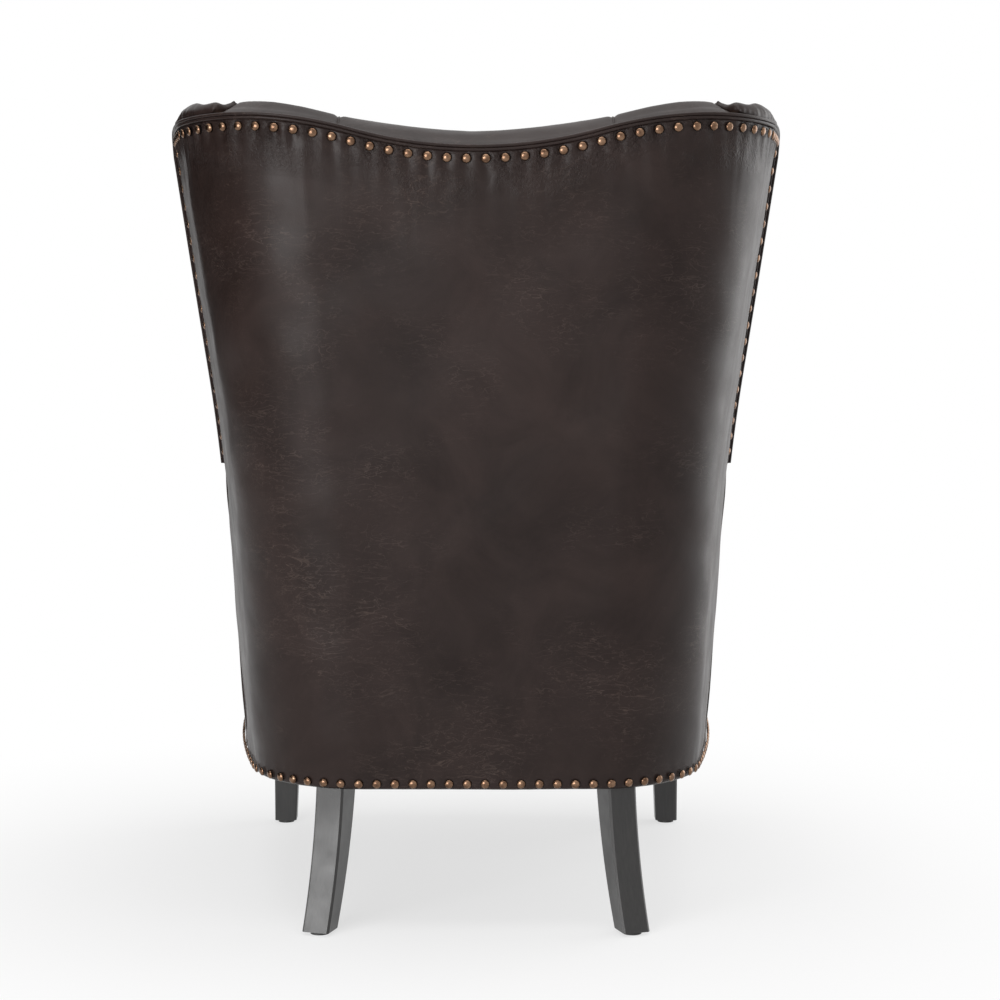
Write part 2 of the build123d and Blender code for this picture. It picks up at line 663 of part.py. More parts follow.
def back_webbing():
    """Upright straps between the rails, and the cross straps in front of them between the posts."""
    straps = []
    below = below_crest(EDGE_DIP_LEVEL - FRAME_DROP - STRAP_END, EDGE_RISE)
    for x in spread(BACK_STRAPS, POST_BASE_X):
        span = (x - STRAP_WIDTH / 2, x + STRAP_WIDTH / 2)
        zone = block(span, (0, REACH), (LOWER_RAIL_LEVEL + STRAP_END, TOP_LEVEL))
        straps.append(wall(STRAP_OUT, POST_IN) & zone & below)
    low = LOWER_RAIL_LEVEL + LOWER_RAIL_HEIGHT
    half = (EDGE_DIP_LEVEL - CREST_RAIL_HEIGHT - low) / 2
    for offset in spread(BACK_CROSS_STRAPS, half):
        level = low + half + offset
        share = (level - RAIL_BASE_LEVEL) / (TOP_LEVEL - RAIL_BASE_LEVEL)
        reach_x = POST_BASE_X + share * (POST_TOP_X - POST_BASE_X) + POST_WIDTH / 2
        span = (level - STRAP_WIDTH / 2, level + STRAP_WIDTH / 2)
        zone = block((-reach_x, reach_x), (0, REACH), span)
        straps.append(wall(CROSS_STRAP_OUT, CROSS_STRAP_OUT + STRAP) & zone)
    return straps


def dust_sheet():
    """Black cloth under the seat frame, cut out round the legs."""
    zone = block((-REACH, REACH), (PANEL_Y + FIT, REACH), (RAIL_BASE_LEVEL - DUST_SHEET, RAIL_BASE_LEVEL))
    sheet = body(FRAME_OUT) & zone
    for leg in (front_leg(), rear_leg()):
        box = (leg & slab(RAIL_BASE_LEVEL - DUST_SHEET, RAIL_BASE_LEVEL)).bounding_box()
        x_span = (box.min.X - LEG_CUT_OUT, box.max.X + LEG_CUT_OUT)
        y_span = (box.min.Y - LEG_CUT_OUT, box.max.Y + LEG_CUT_OUT)
        hole = block(x_span, y_span, (0, RAIL_BASE_LEVEL))
        sheet = sheet - hole - mirrored(hole)
    return sheet


# Legs

def leg_section(x, depth, level, size, turn):
    """Bevelled rectangle of a leg at one level."""
    shape = Rectangle(*size)
    shape = chamfer(shape.vertices(), LEG_BEVEL)
    return Pos(x, BACK_Y - depth, level) * Rot(0, 0, turn) * shape


def bolt_hole(x, depth):
    """Bore for a leg's bolt, half in the leg and half in the post above it."""
    bore = Cylinder(BOLT_RADIUS + BOLT_CLEARANCE, BOLT_LENGTH + 2 * BOLT_CLEARANCE)
    return Pos(x, BACK_Y - depth, RAIL_BASE_LEVEL) * bore


def front_bolt_place():
    """Across and depth of the left front bolt."""
    return FRONT_LEG_OUTER_X - FRONT_BOLT_INSET, FRONT_LEG_DEPTH


def rear_bolt_place():
    """Across and depth of the left rear bolt."""
    return REAR_LEG_TOP_X, REAR_BOLT_DEPTH


@cache
def front_leg():
    """Left front leg: square, tapered on its inner side."""
    top_x = FRONT_LEG_OUTER_X - FRONT_LEG_TOP / 2
    foot_x = FRONT_LEG_OUTER_X - FRONT_LEG_FOOT / 2
    top = leg_section(top_x, FRONT_LEG_DEPTH, RAIL_BASE_LEVEL, (FRONT_LEG_TOP,) * 2, 0)
    foot = leg_section(foot_x, FRONT_LEG_DEPTH, GLIDE_HEIGHT, (FRONT_LEG_FOOT,) * 2, 0)
    return loft([foot, top], ruled=True) - bolt_hole(*front_bolt_place())


@cache
def rear_leg():
    """Left rear leg: turned outwards, with a sabre curve that kicks the foot back."""
    knee_level = (GLIDE_HEIGHT + RAIL_BASE_LEVEL) / 2
    knee_x = REAR_LEG_TOP_X + REAR_LEG_KNEE * (REAR_LEG_FOOT_X - REAR_LEG_TOP_X)
    knee_depth = REAR_LEG_TOP_DEPTH + REAR_LEG_KNEE * (REAR_LEG_FOOT_DEPTH - REAR_LEG_TOP_DEPTH)
    knee_size = [(top + foot) / 2 for top, foot in zip(REAR_LEG_TOP, REAR_LEG_FOOT)]
    sections = [
        leg_section(REAR_LEG_FOOT_X, REAR_LEG_FOOT_DEPTH, GLIDE_HEIGHT, REAR_LEG_FOOT, -REAR_LEG_TURN),
        leg_section(knee_x, knee_depth, knee_level, knee_size, -REAR_LEG_TURN),
        leg_section(REAR_LEG_TOP_X, REAR_LEG_TOP_DEPTH, RAIL_BASE_LEVEL, REAR_LEG_TOP, -REAR_LEG_TURN),
    ]
    return loft(sections) - bolt_hole(*rear_bolt_place())


def leg_bolts():
    """Hanger bolts that join the legs to the posts."""
    bolts = []
    for x, depth in (front_bolt_place(), rear_bolt_place()):
        bolt = Pos(x, BACK_Y - depth, RAIL_BASE_LEVEL) * Cylinder(BOLT_RADIUS, BOLT_LENGTH)
        bolts += [bolt, mirrored(bolt)]
    return bolts


def glides():
    """Plastic glides under the four feet."""
    front_x = FRONT_LEG_OUTER_X - FRONT_LEG_FOOT / 2
    discs = []
    for x, depth in ((front_x, FRONT_LEG_DEPTH), (REAR_LEG_FOOT_X, REAR_LEG_FOOT_DEPTH)):
        disc = Pos(x, BACK_Y - depth, GLIDE_HEIGHT / 2) * Cylinder(GLIDE_RADIUS, GLIDE_HEIGHT)
        discs += [disc, mirrored(disc)]
    return discs


# Nails

@cache
def nail():
    """Head of a decorative nail."""
    slope = math.degrees(math.atan2(NAIL_RADIUS - NAIL_CROWN_RADIUS, NAIL_HEIGHT))
    return extrude(RegularPolygon(NAIL_RADIUS, NAIL_SIDES), amount=NAIL_HEIGHT, taper=slope)


def surface_nail(place, level):
    """Nail on the outer form, square to the leather."""
    point, normal = station(level, place)
    above, _ = station(level + 1, place)
    along = flat(-normal.Y, normal.X)
    out = along.cross(above - point).normalized()
    return Plane(point + out * NAIL_SEAT, x_dir=along, z_dir=out) * nail()


def place_at_depth(level, depth):
    """Place on the left side of the outer form that lies at a depth."""
    low, high = 1.0, 3.0
    while high - low > 1 / PATH_STEPS ** 2:
        middle = (low + high) / 2
        if BACK_Y - station(level, middle)[0].Y < depth:
            low = middle
        else:
            high = middle
    return low


def even_spots(path, pitch):
    """Evenly spaced fractions of a path, half a step in from its ends."""
    shares = [step / PATH_STEPS for step in range(PATH_STEPS + 1)]
    points = [path(share) for share in shares]
    lengths = [0]
    for before, after in zip(points, points[1:]):
        lengths.append(lengths[-1] + (after - before).length)
    count = round(lengths[-1] / pitch)
    targets = [lengths[-1] * (index + 0.5) / count for index in range(count)]
    return [shares[min(range(PATH_STEPS + 1), key=lambda k: abs(lengths[k] - aim))] for aim in targets]


def nail_row(spot):
    """Nails along the path that gives a place and level for each fraction of its length."""
    shares = even_spots(lambda share: station(spot(share)[1], spot(share)[0])[0], NAIL_PITCH)
    return [surface_nail(*spot(share)) for share in shares]


def wing_corner():
    """Place and level of the corner between the crest row and the wing row."""
    level = crest_level(TOP_FRONT_HALF_WIDTH, EDGE_DIP_LEVEL, EDGE_RISE) - NAIL_INSET
    return place_at_depth(level, wing_edge_depth(level) - NAIL_INSET), level


def crest_nails():
    """Nails under the crest's welt, from the middle to the left ear and mirrored."""
    end = wing_corner()[0]

    def spot(share):
        x = station(EDGE_DIP_LEVEL, end * share)[0].X
        return end * share, crest_level(x, EDGE_DIP_LEVEL, EDGE_RISE) - NAIL_INSET

    row = nail_row(spot)
    return row + [mirrored(head) for head in row]


def wing_nails():
    """Nails down the left wing's leading edge."""
    top = wing_corner()[1]

    def spot(share):
        level = top + share * (ARM_EDGE_LEVEL + NAIL_INSET - top)
        return place_at_depth(level, wing_edge_depth(level) - NAIL_INSET), level

    return nail_row(spot)


def base_nails():
    """Nails along the lower edge: round the back and sides, and across the front."""
    level = BASE_LEVEL + NAIL_INSET
    end = place_at_depth(level, BODY_DEPTH - FRONT_PANEL - NAIL_INSET)
    row = nail_row(lambda share: (end * share, level))
    half = BASE_FRONT_HALF_WIDTH - PAD_IN
    front = [front_nail(x, level) for x in spread(round(2 * half / NAIL_PITCH), half)]
    return row + [mirrored(head) for head in row] + front


def front_nail(x, level):
    """Nail on the front panels."""
    return Plane((x, FRONT_Y - NAIL_SEAT, level), x_dir=(1, 0, 0), z_dir=(0, -1, 0)) * nail()


def arm_nails():
    """Nails round the left arm's front panel."""
    low = BASE_LEVEL + NAIL_INSET
    high = ARM_RIM_LEVEL - PANEL_ROUND
    top = ARM_RIM_LEVEL - NAIL_INSET

    def outer(level):
        return station(level, 3)[0].X - NAIL_INSET

    def inner(level):
        return station(level, 3)[0].X - PAD_IN + NAIL_INSET

    sides = max(1, round((high - low) / NAIL_PITCH))
    levels = [low + (high - low) * index / sides for index in range(sides + 1)]
    middle = (outer(top) + inner(top)) / 2
    heads = [front_nail(outer(level), level) for level in levels]
    heads += [front_nail(inner(level), level) for level in levels]
    return heads + [front_nail(middle + offset, top) for offset in (-NAIL_PITCH / 2, NAIL_PITCH / 2)]


# Pieces by node name

def bored_post(post, place):
    """A post with the bore for its leg's bolt."""
    return post - bolt_hole(*place)


def single_pieces():
    """Pieces that lie across the middle of the chair."""
    return {
        "outer_back_cover": outer_back_cover(),
        "back_board": back_board(),
        "double_welt": double_welt(),
        "inside_back_pad": inside_back_pad(),
        "front_border": front_border(),
        "seat_deck": seat_deck(),
        "seat_cushion": seat_cushion(),
        "crest_rail": crest_rail(),
        "lower_back_rail": back_rail(LOWER_RAIL_LEVEL, LOWER_RAIL_LEVEL + LOWER_RAIL_HEIGHT),
        "back_seat_rail": back_rail(RAIL_BASE_LEVEL, SEAT_RAIL_TOP),
        "front_seat_rail": front_seat_rail(),
        "dust_sheet": dust_sheet(),
    }


def left_pieces():
    """Pieces on the sitter's left, each with a mirrored twin on the right."""
    return {
        "outer_arm_cover": outer_arm_cover(),
        "arm_board": arm_board(),
        "arm_welt": arm_welt(),
        "inside_wing_pad": inside_wing_pad(),
        "arm_pad": arm_pad(),
        "arm_front_panel": arm_front_panel(),
        "back_post": bored_post(back_post(), rear_bolt_place()),
        "wing_board": wing_board(),
        "arm_rail": side_rail(ARM_RAIL_TOP - ARM_RAIL_HEIGHT, ARM_RAIL_TOP),
        "side_seat_rail": side_seat_rail(),
        "arm_post": bored_post(arm_post(), front_bolt_place()),
        "front_leg": front_leg(),
        "rear_leg": rear_leg(),
    }


def groups():
    """Nodes that hold several identical pieces."""
    left_wing_nails = wing_nails()
    left_arm_nails = arm_nails()
    return {
        "corner_blocks": corner_blocks(),
        "seat_webbing": seat_webbing(),
        "back_webbing": back_webbing(),
        "tuft_buttons": tuft_buttons(),
        "leg_bolts": leg_bolts(),
        "glides": glides(),
        "crest_nails": crest_nails(),
        "base_nails": base_nails(),
        "wing_nails_left": left_wing_nails,
        "wing_nails_right": [mirrored(head) for head in left_wing_nails],
        "arm_nails_left": left_arm_nails,
        "arm_nails_right": [mirrored(head) for head in left_arm_nails],
    }


def main():
    """Write each node to its own file."""
    os.makedirs("parts", exist_ok=True)
    nodes = {name: shape.solids() for name, shape in single_pieces().items()}
    for name, shape in left_pieces().items():
        nodes[name + "_left"] = shape.solids()
        nodes[name + "_right"] = mirrored(shape).solids()
    for name, shapes in groups().items():
        nodes[name] = [solid for shape in shapes for solid in shape.solids()]
    for name, solids in nodes.items():
        shape = solids[0] if len(solids) == 1 else Compound(children=solids)
        export_step(shape, f"parts/{name}.step")


main()
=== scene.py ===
"""Brown leather wing chair seen from behind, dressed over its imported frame."""
import math

import bpy
import numpy as np
from mathutils import Matrix, Vector


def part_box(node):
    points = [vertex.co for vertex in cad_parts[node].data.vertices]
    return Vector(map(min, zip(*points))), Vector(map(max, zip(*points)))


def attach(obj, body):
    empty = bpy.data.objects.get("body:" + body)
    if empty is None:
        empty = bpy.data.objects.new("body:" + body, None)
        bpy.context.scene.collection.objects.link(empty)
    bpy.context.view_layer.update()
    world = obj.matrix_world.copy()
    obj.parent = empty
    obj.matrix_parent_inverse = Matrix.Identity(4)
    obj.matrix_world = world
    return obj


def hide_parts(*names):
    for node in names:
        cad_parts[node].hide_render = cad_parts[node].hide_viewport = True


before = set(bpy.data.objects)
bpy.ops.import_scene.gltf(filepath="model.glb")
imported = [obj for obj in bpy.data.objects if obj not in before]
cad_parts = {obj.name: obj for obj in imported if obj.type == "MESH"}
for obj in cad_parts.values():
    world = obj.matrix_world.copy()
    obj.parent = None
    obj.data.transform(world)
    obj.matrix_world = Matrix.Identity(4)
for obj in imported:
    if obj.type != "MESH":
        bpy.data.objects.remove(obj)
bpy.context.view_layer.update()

# Outer form, in metres: plan at the lower edge, at the waist and at the level of the ears
BASE_LEVEL = 0.170
WAIST_LEVEL = 0.555
TOP_LEVEL = 0.960
BASE_HALF_FLAT = 0.126
WAIST_HALF_FLAT = 0.157
TOP_HALF_FLAT = 0.190
BASE_CORNER_RADIUS = 0.140
WAIST_CORNER_RADIUS = 0.128
TOP_CORNER_RADIUS = 0.155
CORNER_TURN = 79.0
BASE_FRONT_HALF_WIDTH = 0.300
WAIST_FRONT_HALF_WIDTH = 0.316
TOP_FRONT_HALF_WIDTH = 0.366
WAIST_BLEND = 0.090
BODY_DEPTH = 0.655
BACK_LEAN = 0.099
BACK_Y = (BODY_DEPTH - BACK_LEAN) / 2
FRONT_Y = BACK_Y - BODY_DEPTH

# Crest, wing, seam and arm lines
CREST_EAR_HALF = 0.270
EDGE_DIP_LEVEL = 0.894
EDGE_RISE = 0.036
SOLID_EDGE_RISE = 0.047
ARM_EDGE_LEVEL = 0.525
ARM_RIM_LEVEL = 0.541
SEAM_BASE_DEPTH = 0.215
WING_FOOT_DEPTH = 0.290
WING_TOP_DEPTH = 0.140
WING_TOP_LEVEL = 0.935
WING_EDGE_SAG = 0.012
EAR_ROUND = 0.028
PAD_EAR_ROUND = 0.040
FIT = 0.0003
FRONT_PANEL = 0.006
PANEL_ROUND = 0.014
PANEL_Y = FRONT_Y + FRONT_PANEL
PAD_IN = 0.063
PAD_OUT = 0.041
DECK_LEVEL = 0.345

# Leather
HIDE = 0.0036
EDGE_ROLL = 0.0028
PUCKER = 0.0019
FLUTE = 0.00028
FLUTE_REACH = 0.042
BASE_PUCKER = 0.0004
BILLOW = 0.00035
WING_RECESS = 0.0025
WING_RECESS_WIDTH = 0.018
WING_BULGE = 0.0090

# Trim
BEAD_RADIUS = 0.0020
BEAD_PLACES = (0.0020, 0.0058)
BEAD_LIFT = 0.0007
WING_BEAD_LIFTS = (0.0002, 0.0032)
NAIL_RADIUS = 0.0055
NAIL_HEIGHT = 0.0031
NAIL_SKIRT = 0.0012
NAIL_PITCH = 0.021
NAIL_INSET = 0.0075
NAIL_SEGMENTS = 10
NAIL_RINGS = 6
PATH_STEPS = 400

# Tufts of the inside back
TUFT_COLUMN = 0.151
TUFT_TOP_LEVEL = 0.800
TUFT_ROW = 0.105
TUFT_DEPTH = 0.020
BACK_PAD = 0.078
BUTTON_RADIUS = 0.0115
RIM_RISE = 0.008
RIM_RISE_HALF = 0.20
EAR_RISE = 0.012
RIM_BULGE = 0.0065
RIM_BAND = 0.020
PLEAT_RADIUS = 0.0011

# Gathers and unevenness of the leather
GATHER_HEIGHTS = (0.45, 1.5)
GATHER_REACHES = (0.6, 1.6)
GATHER_LEANS = (-7, 7)
GATHER_FADE = 0.006
PUCKER_REACH = 0.009
BASE_PUCKER_REACH = 0.008
WING_PUCKER_REACH = 0.010
BILLOW_WAVES = 14
BILLOW_LENGTHS = (0.05, 0.22)

# Meshes and paths: counts, and how even the spacing of each grid is
BACK_GRID = (400, 100)
BACK_EVEN_ACROSS = 0.4
BACK_EVEN_UP = 0.3
ARM_GRID = (90, 60)
ARM_EVEN = 0.35
COVER_ROUNDS = 8
CREST_ROUNDS = 4
HALVINGS = 30
TABLE_STEPS = 317
FRONT_END = 3.0
FORM_PLACES = np.linspace(0, 2.8, 141)
WING_STEPS = 90
EAR_STEPS = 12
CREST_STEPS = 130
ARM_STEPS = 60
ARM_WELT_ENDS = (0.009, 0.001)
JOINT_STEPS = 30
JOINT_ENDS = (0.002, 0.003)
JOINT_IN = 0.0008
PIPING_ROUNDNESS = 2
NAIL_CUT = 0.02
NAIL_RIM = 0.05
NAIL_TILT = 0.035
MERGE_GAP = 0.00005
TINY = 1e-9

# Flat sizes of the leather covers before they are stretched
BACK_FLAT_HEIGHT = 0.775

# Filling of the pads: mesh size, how far the form is drawn in first, and the most that it swells
BACK_FILL = (0.006, 0.004, 0.010)
WING_FILL = (0.005, 0.002, 0.006)
ARM_FILL = (0.005, 0.003, 0.006)
PANEL_FILL = (0.003, 0.0012, 0.0022)
DECK_FILL = (0.006, 0.0015, 0.0012)
CUSHION_FILL = (0.006, 0.007, 0.009)
STUFFING = {
    "quality": 4,
    "mass": 0.3,
    "use_pressure": True,
    "uniform_pressure_force": 4.0,
    "vertex_group_mass": "held",
    "tension_stiffness": 12,
    "compression_stiffness": 12,
    "bending_stiffness": 0.4,
}
STUFFING_FRAMES = 20
RELAX_FACTOR = 0.5
RELAX_ROUNDS = 9
PANEL_RELAX_ROUNDS = 2
WING_RELAX_ROUNDS = 8

# Which faces of a pad are free to swell, by the direction they face
BACK_FACING = (-0.25, 0.25)
PLEAT_FACING = -0.2
WING_FACING = (-0.3, -0.5, 0.35)
ARM_FACING = (-0.3, 0.3)
PANEL_FACING = -0.4
DECK_FACING = 0.6
CUSHION_FACING = -0.8
BACK_HELD = 0.008
WING_HELD = 0.006
ARM_HELD = 0.01
PANEL_HELD = 0.002
CUSHION_HELD = 0.002

# Pleats and tufts of the back pad
PLEAT_TOP_LEVEL = 1.1
PLEAT_FOOT_LEVEL = 0.30
PLEAT_WIDTH = 0.007
PLEAT_SINK = 0.007
PLEAT_HELD = 0.75
TUFT_CLEAR = 0.012
TUFT_HELD = 0.013
CREASE_DEPTH = 0.0025
CREASE_WIDTH = 0.0035
PLEAT_TURNS = (8, 150)
PLEAT_STEPS = 60
PLEAT_CENTRE_DROP = 0.01
RAY_REACH = 0.3
BUTTON_MESH = (28, 14)
BUTTON_CROWN = 0.42
BUTTON_BACK = 0.22
BUTTON_PROUD = 0.0035

# Rolled rim and wing edge: where each move starts, and over what run it fades in
RIM_START = 0.003
RIM_LIFT_START = 0.004
HANG_START = 0.002
HANG_RUN = 0.010
EDGE_START = -0.022
EDGE_RUN = 0.020
RIM_TUCK = 0.001
RIM_BULGE_LEVEL = 0.008
RIM_BULGE_SPREAD = 0.011
WING_OUTER_START = -0.030
WING_OUTER_RUN = 0.024
WING_FOOT_RUN = 0.060
WING_BULGE_PLACE = 0.010
WING_BULGE_SPREAD = 0.006
EAR_START = 0.252
EAR_RUN = 0.036
EAR_OVER_RUN = 0.014
WING_SINK = 0.008
WING_SINK_RUN = 0.012
JOINT_PUSH = 0.007
JOINT_PLACE = 1.56
JOINT_RUN = 0.10

# Loose cushion
CUSHION_CORNER = 0.050
CUSHION_REAR = 0.055
CUSHION_REAR_RUN = 0.05
CUSHION_STEPS = 240
CORNER_STEPS = 12
CUSHION_PIPING = 0.003
CUSHION_PIPING_LIFT = 0.001
CUSHION_PIPING_SPOTS = (("upper", 0.008, 0.088), ("lower", 0.003, 0.010))

# Cloth under the seat
CLOTH_CUTS = 2
CLOTH_SAG = 0.0006
CLOTH_WAVES = (40, 34)

RANDOM = np.random.default_rng(7)


# Small helpers

def deselect_all():
    """Object mode with nothing selected."""
    if bpy.context.object and bpy.context.object.mode != "OBJECT":
        bpy.ops.object.mode_set(mode="OBJECT")
    bpy.ops.object.select_all(action="DESELECT")


def pick(piece):
    """Select one object and make it active."""
    deselect_all()
    piece.select_set(True)
    bpy.context.view_layer.objects.active = piece


def read_points(piece, key="co"):
    """Vertex places of a mesh as rows, or their normals."""
    flat = np.empty(len(piece.data.vertices) * 3)
    piece.data.vertices.foreach_get(key, flat)
    return flat.reshape(-1, 3)


def read_normals(piece):
    """Vertex normals of a mesh as rows."""
    return read_points(piece, "normal")


def write_points(piece, points):
    """Put the vertices of a mesh at given places."""
    piece.data.vertices.foreach_set("co", np.ascontiguousarray(points, dtype=np.float32).ravel())
    piece.data.update()


def apply_modifier(piece, modifier):
    """Apply one modifier."""
    pick(piece)
    bpy.ops.object.modifier_apply(modifier=modifier.name)


def edit_whole(piece):
    """Edit mode with the whole of a mesh selected."""
    pick(piece)
    bpy.ops.object.mode_set(mode="EDIT")
    bpy.ops.mesh.select_all(action="SELECT")


def face_outwards(piece):
    """Make the faces of a closed mesh point outwards."""
    edit_whole(piece)
    bpy.ops.mesh.normals_make_consistent(inside=False)
    bpy.ops.object.mode_set(mode="OBJECT")


def flip_faces(piece):
    """Turn every face of a mesh the other way."""
    edit_whole(piece)
    bpy.ops.mesh.flip_normals()
    bpy.ops.object.mode_set(mode="OBJECT")


def smooth(piece):
    """Smooth shading of the whole piece."""
    pick(piece)
    bpy.ops.object.shade_smooth()


def finish_piece(piece, body, material, nodes=()):
    """Give a piece its body, finish and the nodes that it stands for."""
    piece.data.materials.clear()
    piece.data.materials.append(material)
    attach(piece, body)
    if nodes:
        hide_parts(*nodes)
    return piece


def join_pieces(pieces, name):
    """Join objects into one piece."""
    deselect_all()
    for piece in pieces:
        piece.select_set(True)
    bpy.context.view_layer.objects.active = pieces[0]
    bpy.ops.object.join()
    pieces[0].name = name
    pieces[0].data.name = name
    return pieces[0]


def ramp(value, start, run):
    """Share from 0 to 1 that grows from a start over a run."""
    return np.clip((value - start) / run, 0, 1)


# Outer form

def back_line(level):
    """Depth of the middle of the back at a level."""
    return BACK_Y + (level - BASE_LEVEL) / (TOP_LEVEL - BASE_LEVEL) * BACK_LEAN


def outline_end(level, half_flat, corner_radius, front_half):
    """Values of the plan outline at the base, the waist or the top of the outer form."""
    back_y = back_line(level)
    turn = math.radians(90 - CORNER_TURN)
    normal = np.array((math.cos(turn), math.sin(turn)))
    start = np.array((half_flat, back_y - corner_radius)) + normal * corner_radius
    chord = np.array((front_half, FRONT_Y)) - start
    side_radius = -chord.dot(chord) / (2 * chord.dot(normal))
    centre = start - normal * side_radius
    return {
        "level": level,
        "half_flat": half_flat,
        "corner_radius": corner_radius,
        "back_y": back_y,
        "centre": centre,
        "side_radius": side_radius,
        "turn": turn,
        "end_turn": math.asin((FRONT_Y - centre[1]) / side_radius),
    }


PLANS = (
    outline_end(BASE_LEVEL, BASE_HALF_FLAT, BASE_CORNER_RADIUS, BASE_FRONT_HALF_WIDTH),
    outline_end(WAIST_LEVEL, WAIST_HALF_FLAT, WAIST_CORNER_RADIUS, WAIST_FRONT_HALF_WIDTH),
    outline_end(TOP_LEVEL, TOP_HALF_FLAT, TOP_CORNER_RADIUS, TOP_FRONT_HALF_WIDTH),
)


def plan_weights(level):
    """Weight of each of the three plans at a level, and how fast each weight changes with height."""
    low, high = WAIST_LEVEL - BASE_LEVEL, TOP_LEVEL - WAIST_LEVEL
    into = np.clip((level - WAIST_LEVEL + WAIST_BLEND) / (2 * WAIST_BLEND), 0, 1)
    over = WAIST_BLEND * into ** 2 + np.clip(level - WAIST_LEVEL - WAIST_BLEND, 0, None)
    climb = (level - BASE_LEVEL) / low
    weights = (1 - climb + over / low, climb - over / low - over / high, over / high)
    rates = ((into - 1) / low, (1 - into) / low - into / high, into / high)
    return weights, rates


def outline_points(plan, place):
    """Points and outward directions on one outline: place 0-1 back, 1-2 corner, 2-3 side."""
    on_side = place > 2
    corner = np.radians(90 - CORNER_TURN * np.clip(place - 1, 0, 1))
    side = plan["turn"] + np.clip(place - 2, 0, 1) * (plan["end_turn"] - plan["turn"])
    turn = np.where(on_side, side, corner)
    radius = np.where(on_side, plan["side_radius"], plan["corner_radius"])
    centre_x = np.where(on_side, plan["centre"][0], plan["half_flat"] * np.clip(place, 0, 1))
    centre_y = np.where(on_side, plan["centre"][1], plan["back_y"] - plan["corner_radius"])
    return centre_x + radius * np.cos(turn), centre_y + radius * np.sin(turn), np.cos(turn), np.sin(turn)


def outer_surface(place, level):
    """Points and outward directions on the outer form; place is below 0 on the sitter's right."""
    place, level = np.broadcast_arrays(np.asarray(place, float), np.asarray(level, float))
    hand = np.where(place < 0, -1.0, 1.0)
    weights, rates = plan_weights(level)
    rings = [outline_points(plan, np.abs(place)) for plan in PLANS]
    x, y, normal_x, normal_y = [sum(w * ring[k] for w, ring in zip(weights, rings)) for k in range(4)]
    lean_x, lean_y = [sum(r * ring[k] for r, ring in zip(rates, rings)) for k in range(2)]
    points = np.stack((hand * x, y, level), -1)
    along = np.stack((-normal_y, normal_x, np.zeros_like(x)), -1)
    rise = np.stack((lean_x, lean_y, np.ones_like(x)), -1)
    out = np.cross(along, rise)
    out /= np.linalg.norm(out, axis=-1, keepdims=True)
    out[..., 0] *= hand
    return points, out


def arc_parts(level):
    """Lengths of half the flat back, one corner and one side at a level."""
    weights, _ = plan_weights(level)
    parts = []
    for plan in PLANS:
        side = plan["side_radius"] * (plan["turn"] - plan["end_turn"])
        parts.append((plan["half_flat"], plan["corner_radius"] * math.radians(CORNER_TURN), side))
    return [sum(w * length for w, length in zip(weights, lengths)) for lengths in zip(*parts)]


def place_from_arc(arc, level):
    """Place on the outer form at a distance round it from the middle of the back."""
    flat, corner, side = arc_parts(level)
    far = np.abs(arc)
    round_corner = 1 + (far - flat) / corner
    along_side = 2 + (far - flat - corner) / side
    place = np.where(far < flat, far / flat, np.where(far < flat + corner, round_corner, along_side))
    return np.where(arc < 0, -place, place)


def arc_from_place(place, level):
    """Distance round the outer form from the middle of the back to a place."""
    flat, corner, side = arc_parts(level)
    far = np.abs(place)
    arc = flat * np.clip(far, 0, 1) + corner * np.clip(far - 1, 0, 1) + side * np.clip(far - 2, 0, None)
    return np.where(place < 0, -arc, arc)


def crest_height(x, rise=EDGE_RISE):
    """Height of the crest line at a distance from the middle."""
    run = CREST_EAR_HALF / 2
    radius = (run ** 2 + (rise / 2) ** 2) / rise
    x = np.abs(x)
    dip = EDGE_DIP_LEVEL + radius - np.sqrt(radius ** 2 - np.minimum(x, run) ** 2)
    past = np.maximum(x, run) - CREST_EAR_HALF
    ear = EDGE_DIP_LEVEL + rise - radius + np.sqrt(radius ** 2 - past ** 2)
    return np.where(x <= run, dip, ear)


def crest_at(place):
    """Height of the cover's upper edge at a place."""
    level = np.full(np.shape(place), EDGE_DIP_LEVEL + EDGE_RISE / 2)
    for _ in range(CREST_ROUNDS):
        level = crest_height(outer_surface(place, level)[0][..., 0])
    return level


def seam_depth(level):
    """Depth of the wing's leading edge and, below the arm, of the side seam."""
    share = (level - ARM_EDGE_LEVEL) / (WING_TOP_LEVEL - ARM_EDGE_LEVEL)
    wing = WING_FOOT_DEPTH + share * (WING_TOP_DEPTH - WING_FOOT_DEPTH)
    wing = wing - WING_EDGE_SAG * 4 * share * (1 - share)
    low = (level - BASE_LEVEL) / (ARM_EDGE_LEVEL - BASE_LEVEL)
    seam = SEAM_BASE_DEPTH + low * (WING_FOOT_DEPTH - SEAM_BASE_DEPTH)
    return np.where(level > WING_TOP_LEVEL, WING_TOP_DEPTH, np.where(level < ARM_EDGE_LEVEL, seam, wing))


def place_at_depth(level, depth):
    """Place on the left side that lies at a depth forward of the back's lower edge."""
    level, depth = np.broadcast_arrays(np.asarray(level, float), np.asarray(depth, float))
    low, high = np.ones(level.shape), np.full(level.shape, FRONT_END)
    for _ in range(HALVINGS):
        middle = (low + high) / 2
        behind = BACK_Y - outer_surface(middle, level)[0][..., 1] < depth
        low, high = np.where(behind, middle, low), np.where(behind, high, middle)
    return low


TABLE_LEVELS = np.linspace(BASE_LEVEL, TOP_LEVEL, TABLE_STEPS)
SEAM_ARCS = arc_from_place(place_at_depth(TABLE_LEVELS, seam_depth(TABLE_LEVELS)), TABLE_LEVELS)
FRONT_ARCS = arc_from_place(place_at_depth(TABLE_LEVELS, BACK_Y - PANEL_Y - FIT), TABLE_LEVELS)
EAR_LEVEL = float(crest_at(place_at_depth(EDGE_DIP_LEVEL + EDGE_RISE, WING_TOP_DEPTH)))


